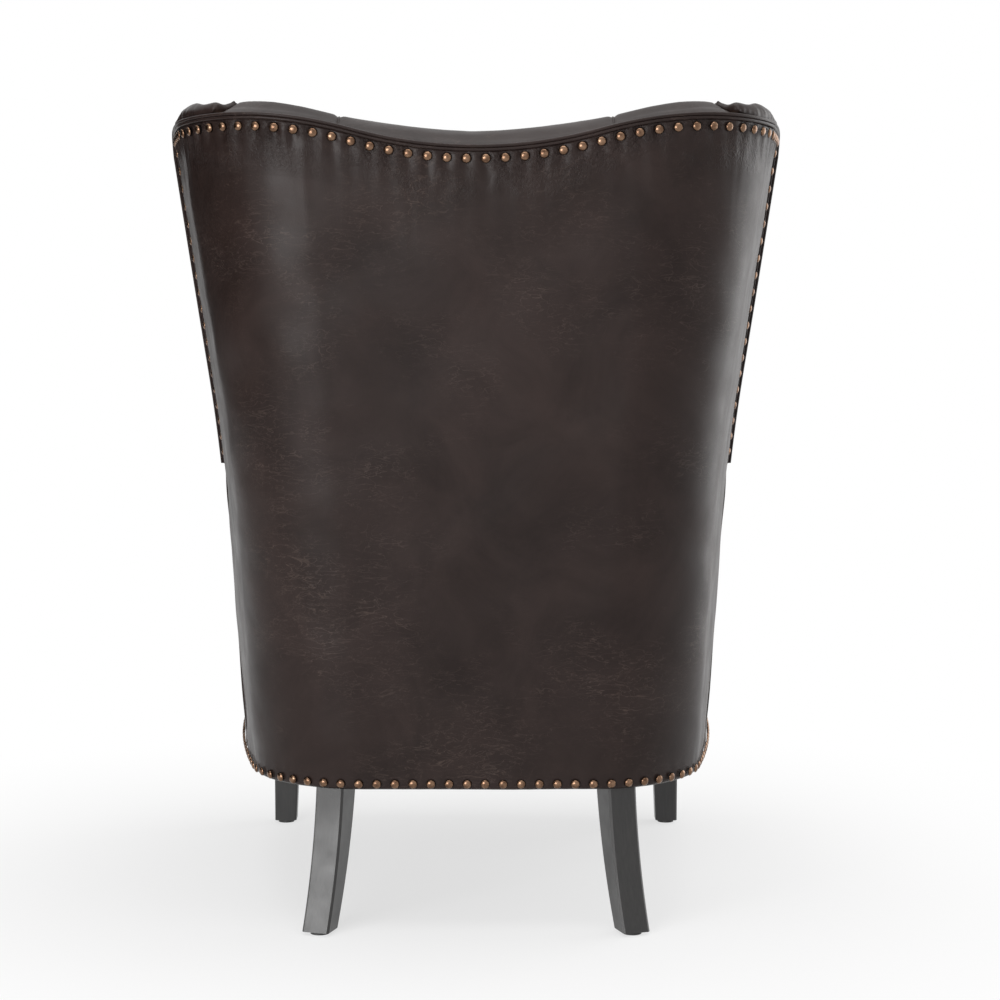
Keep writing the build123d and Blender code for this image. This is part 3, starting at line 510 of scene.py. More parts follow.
def seam_arc(level):
    """Distance round the outer form to the wing's edge or the side seam."""
    return np.interp(level, TABLE_LEVELS, SEAM_ARCS)


def front_arc(level):
    """Distance round the outer form to the front of the outer arm."""
    return np.interp(level, TABLE_LEVELS, FRONT_ARCS)


def cover_limit(level):
    """Distance round to the cover's side edge, with the ear's corner rounded."""
    over = np.clip(level - (EAR_LEVEL - EAR_ROUND), 0, EAR_ROUND)
    return seam_arc(level) - (EAR_ROUND - np.sqrt(EAR_ROUND ** 2 - over ** 2))


def on_form(arc, level, lift=0.0):
    """Points on the outer form at distances round it and heights, lifted off it."""
    points, out = outer_surface(place_from_arc(np.asarray(arc), np.asarray(level)), level)
    return points + out * np.asarray(lift)[..., None]


# Rows of nails and relief of the leather

def even_row(place, level, pitch):
    """Evenly spaced places and levels along a path, half a step in from its ends."""
    points, _ = outer_surface(place, level)
    steps = np.linalg.norm(np.diff(points, axis=0), axis=1)
    run = np.concatenate(((0,), np.cumsum(steps)))
    count = round(run[-1] / pitch)
    aims = run[-1] * (np.arange(count) + 0.5) / count
    return np.interp(aims, run, place), np.interp(aims, run, level)


def crest_row():
    """Places and levels of the nails under the crest, on the left half."""
    level = float(crest_height(TOP_FRONT_HALF_WIDTH)) - NAIL_INSET
    end = float(place_at_depth(level, seam_depth(level) - NAIL_INSET))
    place = np.linspace(0, end, PATH_STEPS + 1)
    heights = crest_at(place) - NAIL_INSET
    return even_row(place, heights, NAIL_PITCH)


def wing_row():
    """Places and levels of the nails down the left wing's edge."""
    top = float(crest_height(TOP_FRONT_HALF_WIDTH)) - NAIL_INSET
    level = np.linspace(top, ARM_EDGE_LEVEL + NAIL_INSET, PATH_STEPS + 1)
    return even_row(place_at_depth(level, seam_depth(level) - NAIL_INSET), level, NAIL_PITCH)


def base_row():
    """Places and levels of the nails along the lower edge, on the left half."""
    level = BASE_LEVEL + NAIL_INSET
    end = float(place_at_depth(level, BODY_DEPTH - FRONT_PANEL - NAIL_INSET))
    place = np.linspace(0, end, PATH_STEPS + 1)
    return even_row(place, np.full(PATH_STEPS + 1, level), NAIL_PITCH)


CREST_ROW = crest_row()
WING_ROW = wing_row()
BASE_ROW = base_row()


def gathers(arc, drop, row, height, reach):
    """Flutes in the leather at a row of nails: drawn in at each nail, proud between them."""
    nails = np.sort(np.concatenate((row, -row)))
    index = np.arange(len(nails))
    phase = np.interp(arc, nails, index)
    heights, reaches, leans = [
        np.interp(phase, index, RANDOM.uniform(*limits, len(nails)))
        for limits in (GATHER_HEIGHTS, GATHER_REACHES, GATHER_LEANS)
    ]
    below = np.clip(drop, 0, None)
    fade = np.where(drop >= 0, np.exp(-below / (reaches * reach)), np.exp(drop / GATHER_FADE))
    return -height * heights * np.cos(2 * np.pi * (phase + leans * below)) * fade


def billow(arc, level):
    """Slow unevenness of leather pulled over a board."""
    total = np.zeros_like(arc)
    for _ in range(BILLOW_WAVES):
        length = RANDOM.uniform(*BILLOW_LENGTHS)
        turn = RANDOM.uniform(0, math.pi)
        wave = (arc * math.cos(turn) + level * math.sin(turn)) / length + RANDOM.uniform(0, 1)
        total += length * np.sin(2 * np.pi * wave)
    return BILLOW * total / max(BILLOW_LENGTHS)


def wing_recess(gap):
    """How far the leather is drawn in beside the wing's edge."""
    near = np.clip(1 - gap / WING_RECESS_WIDTH, 0, 1)
    return WING_RECESS * near * near * (3 - 2 * near)


def edge_roll(gap):
    """How far the leather turns in near an edge."""
    near = np.clip(EDGE_ROLL - gap, 0, EDGE_ROLL)
    return EDGE_ROLL - np.sqrt(EDGE_ROLL ** 2 - near ** 2)


# Leather covers of the outside

def leather_sheet(name, grid, shape):
    """A grid laid over the outer form by a function of its two shares, then given its thickness."""
    deselect_all()
    bpy.ops.mesh.primitive_grid_add(x_subdivisions=grid[0], y_subdivisions=grid[1], size=2)
    piece = bpy.context.object
    piece.name = piece.data.name = name
    start = read_points(piece)
    points, across, down = shape(start[:, 0], (start[:, 1] + 1) / 2)
    write_points(piece, points)
    loops = np.empty(len(piece.data.loops), dtype=np.int32)
    piece.data.loops.foreach_get("vertex_index", loops)
    layout = np.stack((across[loops], down[loops]), -1)
    piece.data.uv_layers.active.data.foreach_set("uv", layout.astype(np.float32).ravel())
    middle = read_normals(piece)
    outwards = outer_surface(place_from_arc(across, points[:, 2]), points[:, 2])[1]
    if np.sum(middle * outwards) < 0:
        flip_faces(piece)
    area = sum(face.area for face in piece.data.polygons)
    wall = piece.modifiers.new("Thickness", "SOLIDIFY")
    wall.thickness = HIDE
    wall.offset = -1
    apply_modifier(piece, wall)
    smooth(piece)
    return piece, area


def crowded(share, even):
    """Shares from 0 to 1 set closer together toward both ends."""
    return even * share + (1 - even) * (0.5 - 0.5 * np.cos(np.pi * share))


def base_gathers(arc, level):
    """Gathers at the nails along the lower edge."""
    drop = level - BASE_LEVEL - NAIL_INSET
    return gathers(arc, drop, arc_from_place(*BASE_ROW), BASE_PUCKER, BASE_PUCKER_REACH)


def back_cover_shape(across, up):
    """The wrap over the back and both wings."""
    far = np.abs(across)
    u = np.sign(across) * (BACK_EVEN_ACROSS * far + (1 - BACK_EVEN_ACROSS) * np.sin(far * np.pi / 2))
    v = crowded(up, BACK_EVEN_UP)
    level = BASE_LEVEL + v * (EDGE_DIP_LEVEL - BASE_LEVEL)
    for _ in range(COVER_ROUNDS):
        arc = u * cover_limit(level)
        crest = crest_at(place_from_arc(arc, level))
        level = BASE_LEVEL + v * (crest - BASE_LEVEL)
    arc = u * cover_limit(level)
    drop = crest - NAIL_INSET - level
    rest = billow(arc, level)
    crest_nails = arc_from_place(*CREST_ROW)
    rest += gathers(arc, drop, crest_nails, PUCKER, PUCKER_REACH)
    rest += gathers(arc, drop, crest_nails, FLUTE, FLUTE_REACH)
    rest += base_gathers(arc, level)
    wing_gap = seam_arc(level) - np.abs(arc)
    flutes = gathers(level, wing_gap - NAIL_INSET, WING_ROW[1], BASE_PUCKER, WING_PUCKER_REACH)
    rest += np.where(level > ARM_EDGE_LEVEL, flutes - wing_recess(wing_gap), 0)
    rest -= edge_roll(level - BASE_LEVEL)
    rest -= np.where(level < ARM_EDGE_LEVEL, edge_roll(wing_gap), 0)
    return on_form(arc, level, rest), arc, crest - level


def arm_cover_shape(across, up):
    """The outer arm between the side seam and the front panel."""
    level = BASE_LEVEL + crowded(up, ARM_EVEN) * (ARM_EDGE_LEVEL - BASE_LEVEL)
    low = seam_arc(level) + FIT
    high = front_arc(level)
    arc = low + crowded((across + 1) / 2, ARM_EVEN) * (high - low)
    rest = billow(arc, level) + base_gathers(arc, level)
    rest -= edge_roll(level - BASE_LEVEL) + edge_roll(arc - low) + edge_roll(high - arc)
    rest -= edge_roll(ARM_EDGE_LEVEL - level)
    return on_form(arc, level, rest), arc, ARM_EDGE_LEVEL - level


def mirrored_piece(piece, name):
    """A copy of a left piece on the sitter's right."""
    twin = piece.copy()
    twin.data = piece.data.copy()
    twin.name = twin.data.name = name
    for key in list(twin.keys()):
        del twin[key]
    bpy.context.collection.objects.link(twin)
    points = read_points(twin)
    points[:, 0] *= -1
    write_points(twin, points)
    flip_faces(twin)
    return twin


# Piping and nails

def piping(name, path, radius, closed=False):
    """Round piping along a path of points."""
    curve = bpy.data.curves.new(name, "CURVE")
    curve.dimensions = "3D"
    curve.bevel_depth = radius
    curve.bevel_resolution = PIPING_ROUNDNESS
    curve.use_fill_caps = not closed
    spline = curve.splines.new("POLY")
    spline.points.add(len(path) - 1)
    spline.points.foreach_set("co", np.hstack((path, np.ones((len(path), 1)))).astype(np.float32).ravel())
    spline.use_cyclic_u = closed
    piece = bpy.data.objects.new(name, curve)
    bpy.context.collection.objects.link(piece)
    pick(piece)
    bpy.ops.object.convert(target="MESH")
    piece = bpy.context.object
    face_outwards(piece)
    smooth(piece)
    return piece


def rim_path(offset, wing_lift):
    """Line along the left wing, the crest and the right wing, outside the cover's edge."""
    rise = np.linspace(ARM_EDGE_LEVEL + BEAD_RADIUS, EAR_LEVEL - EAR_ROUND, WING_STEPS)
    wing_arc = seam_arc(rise) + offset
    ear = np.linspace(0, np.pi / 2, EAR_STEPS)[1:-1]
    ear_centre = seam_arc(EAR_LEVEL - EAR_ROUND) - EAR_ROUND
    ear_arc = ear_centre + (EAR_ROUND + offset) * np.cos(ear)
    ear_level = EAR_LEVEL - EAR_ROUND + (EAR_ROUND + offset) * np.sin(ear)
    crest_arc = np.linspace(ear_centre, 0, CREST_STEPS)
    crest = crest_at(place_from_arc(crest_arc, np.full(CREST_STEPS, EAR_LEVEL))) + offset
    crest[:EAR_STEPS] += (EAR_LEVEL + offset - crest[0]) * np.linspace(1, 0, EAR_STEPS)
    arcs = np.concatenate((wing_arc, ear_arc, crest_arc))
    levels = np.concatenate((rise, ear_level, crest))
    lifts = np.concatenate((np.full(len(rise), wing_lift), np.linspace(wing_lift, BEAD_LIFT, len(ear)),
                            np.full(len(crest_arc), BEAD_LIFT)))
    half = on_form(arcs, levels, lifts)
    other = half[-2::-1] * np.array((-1, 1, 1))
    return np.vstack((half, other))


def arm_edge_path(offset):
    """Line along the left arm's outer edge."""
    level = ARM_EDGE_LEVEL + offset
    start, end = ARM_WELT_ENDS
    arcs = np.linspace(seam_arc(level) + start, front_arc(level) - end, ARM_STEPS)
    return on_form(arcs, np.full(ARM_STEPS, level), np.full(ARM_STEPS, BEAD_LIFT))


def front_joint_path(hand):
    """Line down the joint between an arm's front panel and the border under the seat."""
    levels = np.linspace(DECK_LEVEL - JOINT_ENDS[0], BASE_LEVEL + JOINT_ENDS[1], JOINT_STEPS)
    x = outer_surface(np.full(JOINT_STEPS, FRONT_END), levels)[0][:, 0] - PAD_IN
    return np.stack((hand * x, np.full(JOINT_STEPS, FRONT_Y + JOINT_IN), levels), -1)


def nail_head():
    """Domed head of one decorative nail, with a short skirt that sinks into the leather."""
    deselect_all()
    bpy.ops.mesh.primitive_uv_sphere_add(segments=NAIL_SEGMENTS, ring_count=NAIL_RINGS, radius=NAIL_RADIUS)
    head = bpy.context.object
    bpy.ops.object.mode_set(mode="EDIT")
    bpy.ops.mesh.select_all(action="SELECT")
    cut = NAIL_RADIUS * NAIL_CUT
    bpy.ops.mesh.bisect(plane_co=(0, 0, cut), plane_no=(0, 0, 1), use_fill=True, clear_inner=True)
    bpy.ops.mesh.select_all(action="SELECT")
    bpy.ops.transform.resize(value=(1, 1, NAIL_HEIGHT / NAIL_RADIUS))
    bpy.ops.mesh.select_all(action="DESELECT")
    bpy.ops.object.mode_set(mode="OBJECT")
    for vertex in head.data.vertices:
        if vertex.co.z < NAIL_RADIUS * NAIL_RIM:
            vertex.co.z = -NAIL_SKIRT
    face_outwards(head)
    smooth(head)
    return head


def nail_heads(name, head, points, outs):
    """Copies of the nail head at given places, joined into one piece."""
    copies = []
    for point, out in zip(points, outs):
        tilt = RANDOM.normal(0, NAIL_TILT, 3)
        direction = Vector(out + tilt).normalized()
        turn = direction.to_track_quat("Z", "Y").to_matrix().to_4x4()
        spin = Matrix.Rotation(RANDOM.uniform(0, 2 * math.pi), 4, "Z")
        copy = bpy.data.objects.new(name, head.data.copy())
        bpy.context.collection.objects.link(copy)
        copy.data.transform(Matrix.Translation(Vector(point)) @ turn @ spin)
        copies.append(copy)
    return join_pieces(copies, name)


def row_points(place, level, hand, lift=0.0):
    """Points and directions of a row on one side of the chair."""
    points, outs = outer_surface(place, level)
    mirror = np.array((hand, 1, 1))
    return (points + lift * outs) * mirror, outs * mirror


def front_row_points(x, level):
    """Points and directions of nails on the front panels."""
    x, level = np.broadcast_arrays(np.asarray(x, float), np.asarray(level, float))
    points = np.stack((x, np.full(x.shape, FRONT_Y), level), -1)
    return points, np.tile((0.0, -1.0, 0.0), (len(x), 1))


def spread(count, half):
    """Even places across a width, half a step in from each end."""
    return half * (2 * (np.arange(count) + 0.5) / count - 1)


def arm_front_row(hand):
    """Nails round one arm's front panel."""
    low = BASE_LEVEL + NAIL_INSET
    high = ARM_RIM_LEVEL - PANEL_ROUND
    top = ARM_RIM_LEVEL - NAIL_INSET
    count = max(1, round((high - low) / NAIL_PITCH))
    levels = np.linspace(low, high, count + 1)
    front_x = outer_surface(np.full(levels.shape, FRONT_END), levels)[0][:, 0]
    top_x = float(outer_surface(np.array(FRONT_END), np.array(top))[0][0]) - PAD_IN / 2
    top_pair = top_x + np.array((-0.5, 0.5)) * NAIL_PITCH
    x = np.concatenate((front_x - NAIL_INSET, front_x - PAD_IN + NAIL_INSET, top_pair))
    return front_row_points(hand * x, np.concatenate((levels, levels, (top, top))))


# Padding

def merged_copy(node, name, cuts=0):
    """A copy of a node's solid with its faces joined up and divided by a number of cuts."""
    piece = bpy.data.objects.new(name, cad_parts[node].data.copy())
    bpy.context.collection.objects.link(piece)
    piece.data.materials.clear()
    edit_whole(piece)
    bpy.ops.mesh.remove_doubles(threshold=MERGE_GAP)
    if cuts:
        bpy.ops.mesh.subdivide(number_cuts=cuts)
    bpy.ops.object.mode_set(mode="OBJECT")
    return piece


def soft_copy(node, name, voxel):
    """An evenly meshed copy of a node's solid, ready to be filled out."""
    piece = merged_copy(node, name)
    remesh = piece.modifiers.new("Even mesh", "REMESH")
    remesh.mode = "VOXEL"
    remesh.voxel_size = voxel
    apply_modifier(piece, remesh)
    return piece


def swell(piece, held, shrink, cap):
    """Fill a pad out like stuffed leather: cloth under pressure, held where it is nailed or sewn."""
    start = read_points(piece) - read_normals(piece) * np.where(held, 0, shrink)[:, None]
    write_points(piece, start)
    group = piece.vertex_groups.new(name="held")
    group.add([int(index) for index in np.flatnonzero(held)], 1.0, "REPLACE")
    cloth = piece.modifiers.new("Stuffing", "CLOTH")
    for key, value in STUFFING.items():
        setattr(cloth.settings, key, value)
    cloth.settings.effector_weights.gravity = 0
    cloth.collision_settings.use_collision = False
    cloth.collision_settings.use_self_collision = False
    scene = bpy.context.scene
    for step in range(1, STUFFING_FRAMES + 1):
        scene.frame_set(step)
    apply_modifier(piece, cloth)
    scene.frame_set(1)
    moved = read_points(piece) - start
    far = np.linalg.norm(moved, axis=1, keepdims=True)
    limit = np.minimum(far, cap) / np.maximum(far, TINY)
    write_points(piece, start + moved * limit)
    piece.vertex_groups.clear()


def relax(piece, rounds):
    """Even out a mesh."""
    modifier = piece.modifiers.new("Relax", "SMOOTH")
    modifier.factor = RELAX_FACTOR
    modifier.iterations = rounds
    apply_modifier(piece, modifier)


def soften(piece, rounds=RELAX_ROUNDS):
    """Relax the mesh, divide it once and shade it smooth."""
    relax(piece, rounds)
    divide = piece.modifiers.new("Divide", "SUBSURF")
    divide.levels = 1
    divide.render_levels = 1
    apply_modifier(piece, divide)
    smooth(piece)
    return piece


def tuft_spots():
    """Across and up of each tuft."""
    low = TUFT_TOP_LEVEL - 2 * TUFT_ROW
    spots = [(hand * TUFT_COLUMN, level) for level in (TUFT_TOP_LEVEL, low) for hand in (-1, 1)]
    return spots + [(0.0, TUFT_TOP_LEVEL - TUFT_ROW)]


def pleat_lines():
    """Sewn pleats between the tufts, up over the crest and down to the seat."""
    high = TUFT_TOP_LEVEL
    low = TUFT_TOP_LEVEL - 2 * TUFT_ROW
    middle = (0.0, TUFT_TOP_LEVEL - TUFT_ROW)
    lines = []
    for hand in (-1, 1):
        x = hand * TUFT_COLUMN
        lines.append((middle, (x, high)))
        lines.append((middle, (x, low)))
        lines.append(((x, high), (x, PLEAT_TOP_LEVEL)))
        lines.append(((x, low), (x, PLEAT_FOOT_LEVEL)))
    return lines


def line_distance(points, line):
    """Distance of points, seen from the front, to a straight line between two spots."""
    start, end = np.array(line[0]), np.array(line[1])
    seen = points[:, (0, 2)] - start
    run = end - start
    share = np.clip(seen @ run / run.dot(run), 0, 1)
    return np.linalg.norm(seen - share[:, None] * run, axis=1)


def pleat_depth(points, width):
    """How strongly each point lies in a pleat, from 0 to 1."""
    near = np.min([line_distance(points, line) for line in pleat_lines()], axis=0)
    return np.exp(-(near / width) ** 2)


def nearest_form(points):
    """Nearest place of the outer form at the points' level, their height over it, and its direction."""
    best = np.full(len(points), np.inf)
    lift, away, nearest = np.zeros(len(points)), np.zeros((len(points), 3)), np.zeros(len(points))
    hand = np.where(points[:, 0] < 0, -1.0, 1.0)
    for place in FORM_PLACES:
        surface, out = outer_surface(hand * place, points[:, 2])
        gap = points - surface
        far = np.linalg.norm(gap, axis=1)
        closer = far < best
        best[closer] = far[closer]
        lift[closer] = np.sum(gap * out, axis=1)[closer]
        away[closer] = out[closer]
        nearest[closer] = place
    return nearest, lift, away


def roll_rim(piece):
    """Bring the rolled rim of a pad down to the cover's edge and swell it out over the welt."""
    points = read_points(piece)
    solid_edge = crest_height(points[:, 0], SOLID_EDGE_RISE)
    over = points[:, 2] - solid_edge
    rim = np.flatnonzero(over > -RIM_START)
    _, lift, away = nearest_form(points[rim])
    hang = ramp(lift + PAD_OUT, HANG_START, HANG_RUN)
    forward = BACK_Y - points[rim, 1] - seam_depth(points[rim, 2])
    behind_edge = 1 - ramp(forward, EDGE_START, EDGE_RUN)
    drop = solid_edge[rim] - crest_height(points[rim, 0]) + RIM_TUCK
    low = 1 - ramp(over[rim], 0, RIM_BAND)
    swollen = RIM_BULGE * np.exp(-((over[rim] - RIM_BULGE_LEVEL) / RIM_BULGE_SPREAD) ** 2)
    points[rim] += away * (swollen * hang * behind_edge)[:, None]
    points[rim, 2] -= drop * low * hang
    write_points(piece, points)


def inside_back():
    """Tufted pad of the inside back, rolled over the crest."""
    voxel, shrink, cap = BACK_FILL
    piece = soft_copy("inside_back_pad", "inside_back", voxel)
    points, normals = read_points(piece), read_normals(piece)
    shown = (normals[:, 1] < BACK_FACING[0]) | (normals[:, 2] > BACK_FACING[1])
    shown &= points[:, 2] > DECK_LEVEL + BACK_HELD
    tuft = np.min([np.hypot(points[:, 0] - x, points[:, 2] - z) for x, z in tuft_spots()], axis=0)
    pleat = pleat_depth(points, PLEAT_WIDTH)
    on_face = normals[:, 1] < PLEAT_FACING
    sunk = PLEAT_SINK * pleat * (on_face & (tuft > TUFT_CLEAR))
    write_points(piece, points - normals * sunk[:, None])
    held = ~shown | (tuft < TUFT_HELD) | ((pleat > PLEAT_HELD) & on_face)
    swell(piece, held, shrink, cap)
    soften(piece)
    points, normals = read_points(piece), read_normals(piece)
    over_edge = points[:, 2] - crest_height(points[:, 0], SOLID_EDGE_RISE)
    middle = np.clip(1 - (points[:, 0] / RIM_RISE_HALF) ** 2, 0, 1)
    points[:, 2] += RIM_RISE * middle * ramp(over_edge, RIM_LIFT_START, RIM_BAND)
    crease = CREASE_DEPTH * pleat_depth(points, CREASE_WIDTH)
    write_points(piece, points - normals * crease[:, None])
    roll_rim(piece)
    return piece


def rim_pleats(pad):
    """Folded edges of the two pleats that run over the rim."""
    pieces = []
    for x in (-TUFT_COLUMN, TUFT_COLUMN):
        level = float(crest_height(x))
        centre = Vector((x, back_line(level) - BACK_PAD, level - PLEAT_CENTRE_DROP))
        path = []
        for turn in np.radians(np.linspace(*PLEAT_TURNS, PLEAT_STEPS)):
            away = Vector((0, math.cos(turn), math.sin(turn)))
            hit, spot, _, _ = pad.ray_cast(centre + away * RAY_REACH, -away)
            if hit:
                path.append(tuple(spot))
        pieces.append(piping("pleat", np.array(path), PLEAT_RADIUS))
    return join_pieces(pieces, "rim_pleats")


def round_ear(points):
    """Points of a wing pad with the corner between its top and leading edge rounded."""
    depth = BACK_Y - points[:, 1]
    near_ear = points[:, 2] > EAR_LEVEL - PAD_EAR_ROUND
    far_depth = depth[near_ear].max() - PAD_EAR_ROUND
    high = points[near_ear, 2].max() - PAD_EAR_ROUND
    forward = np.clip(depth - far_depth, 0, None)
    up = np.clip(points[:, 2] - high, 0, None)
    reach = np.hypot(forward, up)
    keep = np.where((forward > 0) & (up > 0), np.minimum(1, PAD_EAR_ROUND / np.maximum(reach, TINY)), 1)
    rounded = points.copy()
    rounded[:, 1] += forward * (1 - keep)
    rounded[:, 2] -= up * (1 - keep)
    return rounded


def wing_pad():
    """Pad on the inside of the left wing."""
    voxel, shrink, cap = WING_FILL
    piece = soft_copy("inside_wing_pad_left", "wing_pad_left", voxel)
    write_points(piece, round_ear(read_points(piece)))
    points, normals = read_points(piece), read_normals(piece)
    side, front, top = WING_FACING
    inner = (normals[:, 0] < side) | (normals[:, 1] < front) | (normals[:, 2] > top)
    held = ~inner | (points[:, 2] < ARM_RIM_LEVEL + WING_HELD)
    swell(piece, held, shrink, cap)
    soften(piece)
    write_points(piece, close_wing(read_points(piece)))
    roll_rim(piece)
    relax(piece, WING_RELAX_ROUNDS)
    return piece


def close_wing(points):
    """Wing pad points with the leading edge swollen, the ear raised and the joints closed."""
    forward = BACK_Y - points[:, 1] - seam_depth(points[:, 2])
    surface, out = outer_surface(place_at_depth(points[:, 2], BACK_Y - points[:, 1]), points[:, 2])
    outer = ramp(np.sum((points - surface) * out, axis=1), WING_OUTER_START, WING_OUTER_RUN)
    foot = ramp(points[:, 2], ARM_RIM_LEVEL, WING_FOOT_RUN)
    bulge = WING_BULGE * np.exp(-((forward - WING_BULGE_PLACE) / WING_BULGE_SPREAD) ** 2)
    points = points + out * (bulge * outer * foot)[:, None]
    over = points[:, 2] - crest_height(points[:, 0], SOLID_EDGE_RISE)
    points[:, 2] += EAR_RISE * ramp(points[:, 0], EAR_START, EAR_RUN) * ramp(over, 0, EAR_OVER_RUN)
    points[:, 2] -= WING_SINK * (1 - ramp(points[:, 2], ARM_RIM_LEVEL, WING_SINK_RUN))
    place, _, away = nearest_form(points)
    inwards = np.stack((-away[:, 1], away[:, 0], np.zeros(len(points))), -1)
    return points + JOINT_PUSH * inwards * (1 - ramp(place, JOINT_PLACE, JOINT_RUN))[:, None]


def arm_pad():
    """Pad on the inside and top of the left arm."""
    voxel, shrink, cap = ARM_FILL
    piece = soft_copy("arm_pad_left", "arm_padding_left", voxel)
    points, normals = read_points(piece), read_normals(piece)
    inner = (normals[:, 0] < ARM_FACING[0]) | (normals[:, 2] > ARM_FACING[1])
    swell(piece, ~inner | (points[:, 2] < DECK_LEVEL + ARM_HELD), shrink, cap)
    return soften(piece)


def front_pad(node, name):
    """A thin padded panel of the front."""
    voxel, shrink, cap = PANEL_FILL
    piece = soft_copy(node, name, voxel)
    points, normals = read_points(piece), read_normals(piece)
    held = (normals[:, 1] > PANEL_FACING) & (points[:, 1] > FRONT_Y + PANEL_HELD)
    swell(piece, held, shrink, cap)
    return soften(piece, PANEL_RELAX_ROUNDS)


def seat_deck_pad():
    """Cloth-topped pad under the cushion."""
    voxel, shrink, cap = DECK_FILL
    piece = soft_copy("seat_deck", "deck_pad", voxel)
    swell(piece, read_normals(piece)[:, 2] < DECK_FACING, shrink, cap)
    return soften(piece, PANEL_RELAX_ROUNDS)


def cushion_outline(inset):
    """Closed plan outline of the seat cushion, read from its node, set in by a distance."""
    low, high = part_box("seat_cushion")
    rows = read_points(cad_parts["seat_cushion"])
    back_half = rows[rows[:, 1] > high[1] - CUSHION_REAR, 0].max()
    front_half = high[0]
    slope = math.atan2(front_half - back_half, (high[1] - CUSHION_REAR_RUN) - low[1])
    rear_half = back_half - inset - CUSHION_REAR_RUN * math.tan(slope)
    corners = [
        (rear_half, high[1] - inset),
        (front_half - inset, low[1] + inset),
        (inset - front_half, low[1] + inset),
        (-rear_half, high[1] - inset),
    ]
    path = []
    radius = CUSHION_CORNER - inset
    for index, spot in enumerate(corners):
        before = np.array(corners[index - 1]) - spot
        after = np.array(corners[(index + 1) % 4]) - spot
        before, after = before / np.linalg.norm(before), after / np.linalg.norm(after)
        half = math.acos(np.clip(before.dot(after), -1, 1)) / 2
        centre = np.array(spot) + (before + after) / np.linalg.norm(before + after) * radius / math.sin(half)
        first = np.array(spot) + before * radius / math.tan(half) - centre
        last = np.array(spot) + after * radius / math.tan(half) - centre
        turn = math.atan2(first[0] * last[1] - first[1] * last[0], first.dot(last))
        for share in np.linspace(0, 1, CORNER_STEPS):
            cos, sin = math.cos(turn * share), math.sin(turn * share)
            path.append(centre + (first[0] * cos - first[1] * sin, first[0] * sin + first[1] * cos))
    path = np.array(path + path[:1])
    run = np.concatenate(((0,), np.cumsum(np.linalg.norm(np.diff(path, axis=0), axis=1))))
    aims = run[-1] * np.arange(CUSHION_STEPS) / CUSHION_STEPS
    return np.stack((np.interp(aims, run, path[:, 0]), np.interp(aims, run, path[:, 1])), -1)


def on_cushion(piece, outline, level):
    """The outline laid on the cushion's surface near a level."""
    path = []
    for x, y in outline:
        found, place, normal, _ = piece.closest_point_on_mesh(Vector((x, y, level)))
        path.append(tuple(place + normal * CUSHION_PIPING_LIFT))
    return np.array(path)


def seat_cushion():
    """Loose cushion with piped edges."""
    voxel, shrink, cap = CUSHION_FILL
    piece = soft_copy("seat_cushion", "cushion_form", voxel)
    points, normals = read_points(piece), read_normals(piece)
    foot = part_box("seat_cushion")[0][2]
    held = (normals[:, 2] < CUSHION_FACING) & (points[:, 2] < foot + CUSHION_HELD)
    swell(piece, held, shrink, cap)
    soften(piece)
    beads = []
    for name, inset, rise in CUSHION_PIPING_SPOTS:
        path = on_cushion(piece, cushion_outline(inset), foot + rise)
        beads.append(piping("cushion_piping_" + name, path, CUSHION_PIPING, True))
    return piece, join_pieces(beads, "cushion_piping")


def tuft_buttons():
    """Leather-covered buttons at the bottom of the tufts."""
    lean = math.atan2(BACK_LEAN, TOP_LEVEL - BASE_LEVEL)
    turn = Matrix.Rotation(math.pi / 2 - lean, 4, "X")
    out = Vector((0, -math.cos(lean), math.sin(lean)))
    segments, rings = BUTTON_MESH
    pieces = []
    for x, level in tuft_spots():
        deselect_all()
        bpy.ops.mesh.primitive_uv_sphere_add(segments=segments, ring_count=rings, radius=BUTTON_RADIUS)
        button = bpy.context.object
        points = read_points(button)
        points[:, 2] *= np.where(points[:, 2] > 0, BUTTON_CROWN, BUTTON_BACK)
        write_points(button, points)
        spot = Vector((x, back_line(level) - PAD_OUT - BACK_PAD, level)) - out * (TUFT_DEPTH - BUTTON_PROUD)
        button.data.transform(Matrix.Translation(spot) @ turn)
        smooth(button)
        pieces.append(button)
    return join_pieces(pieces, "covered_buttons")


# Sheets and straps under the seat and behind the back

def thin_copy(node, name, sag):
    """A divided copy of a thin cloth solid, with a slight sag."""
    piece = merged_copy(node, name, CLOTH_CUTS)
    points = read_points(piece)
    across, along = CLOTH_WAVES
    points[:, 2] -= sag * (1 + np.sin(points[:, 0] * across) * np.sin(points[:, 1] * along)) / 2
    write_points(piece, points)
    smooth(piece)
    return piece


# Materials

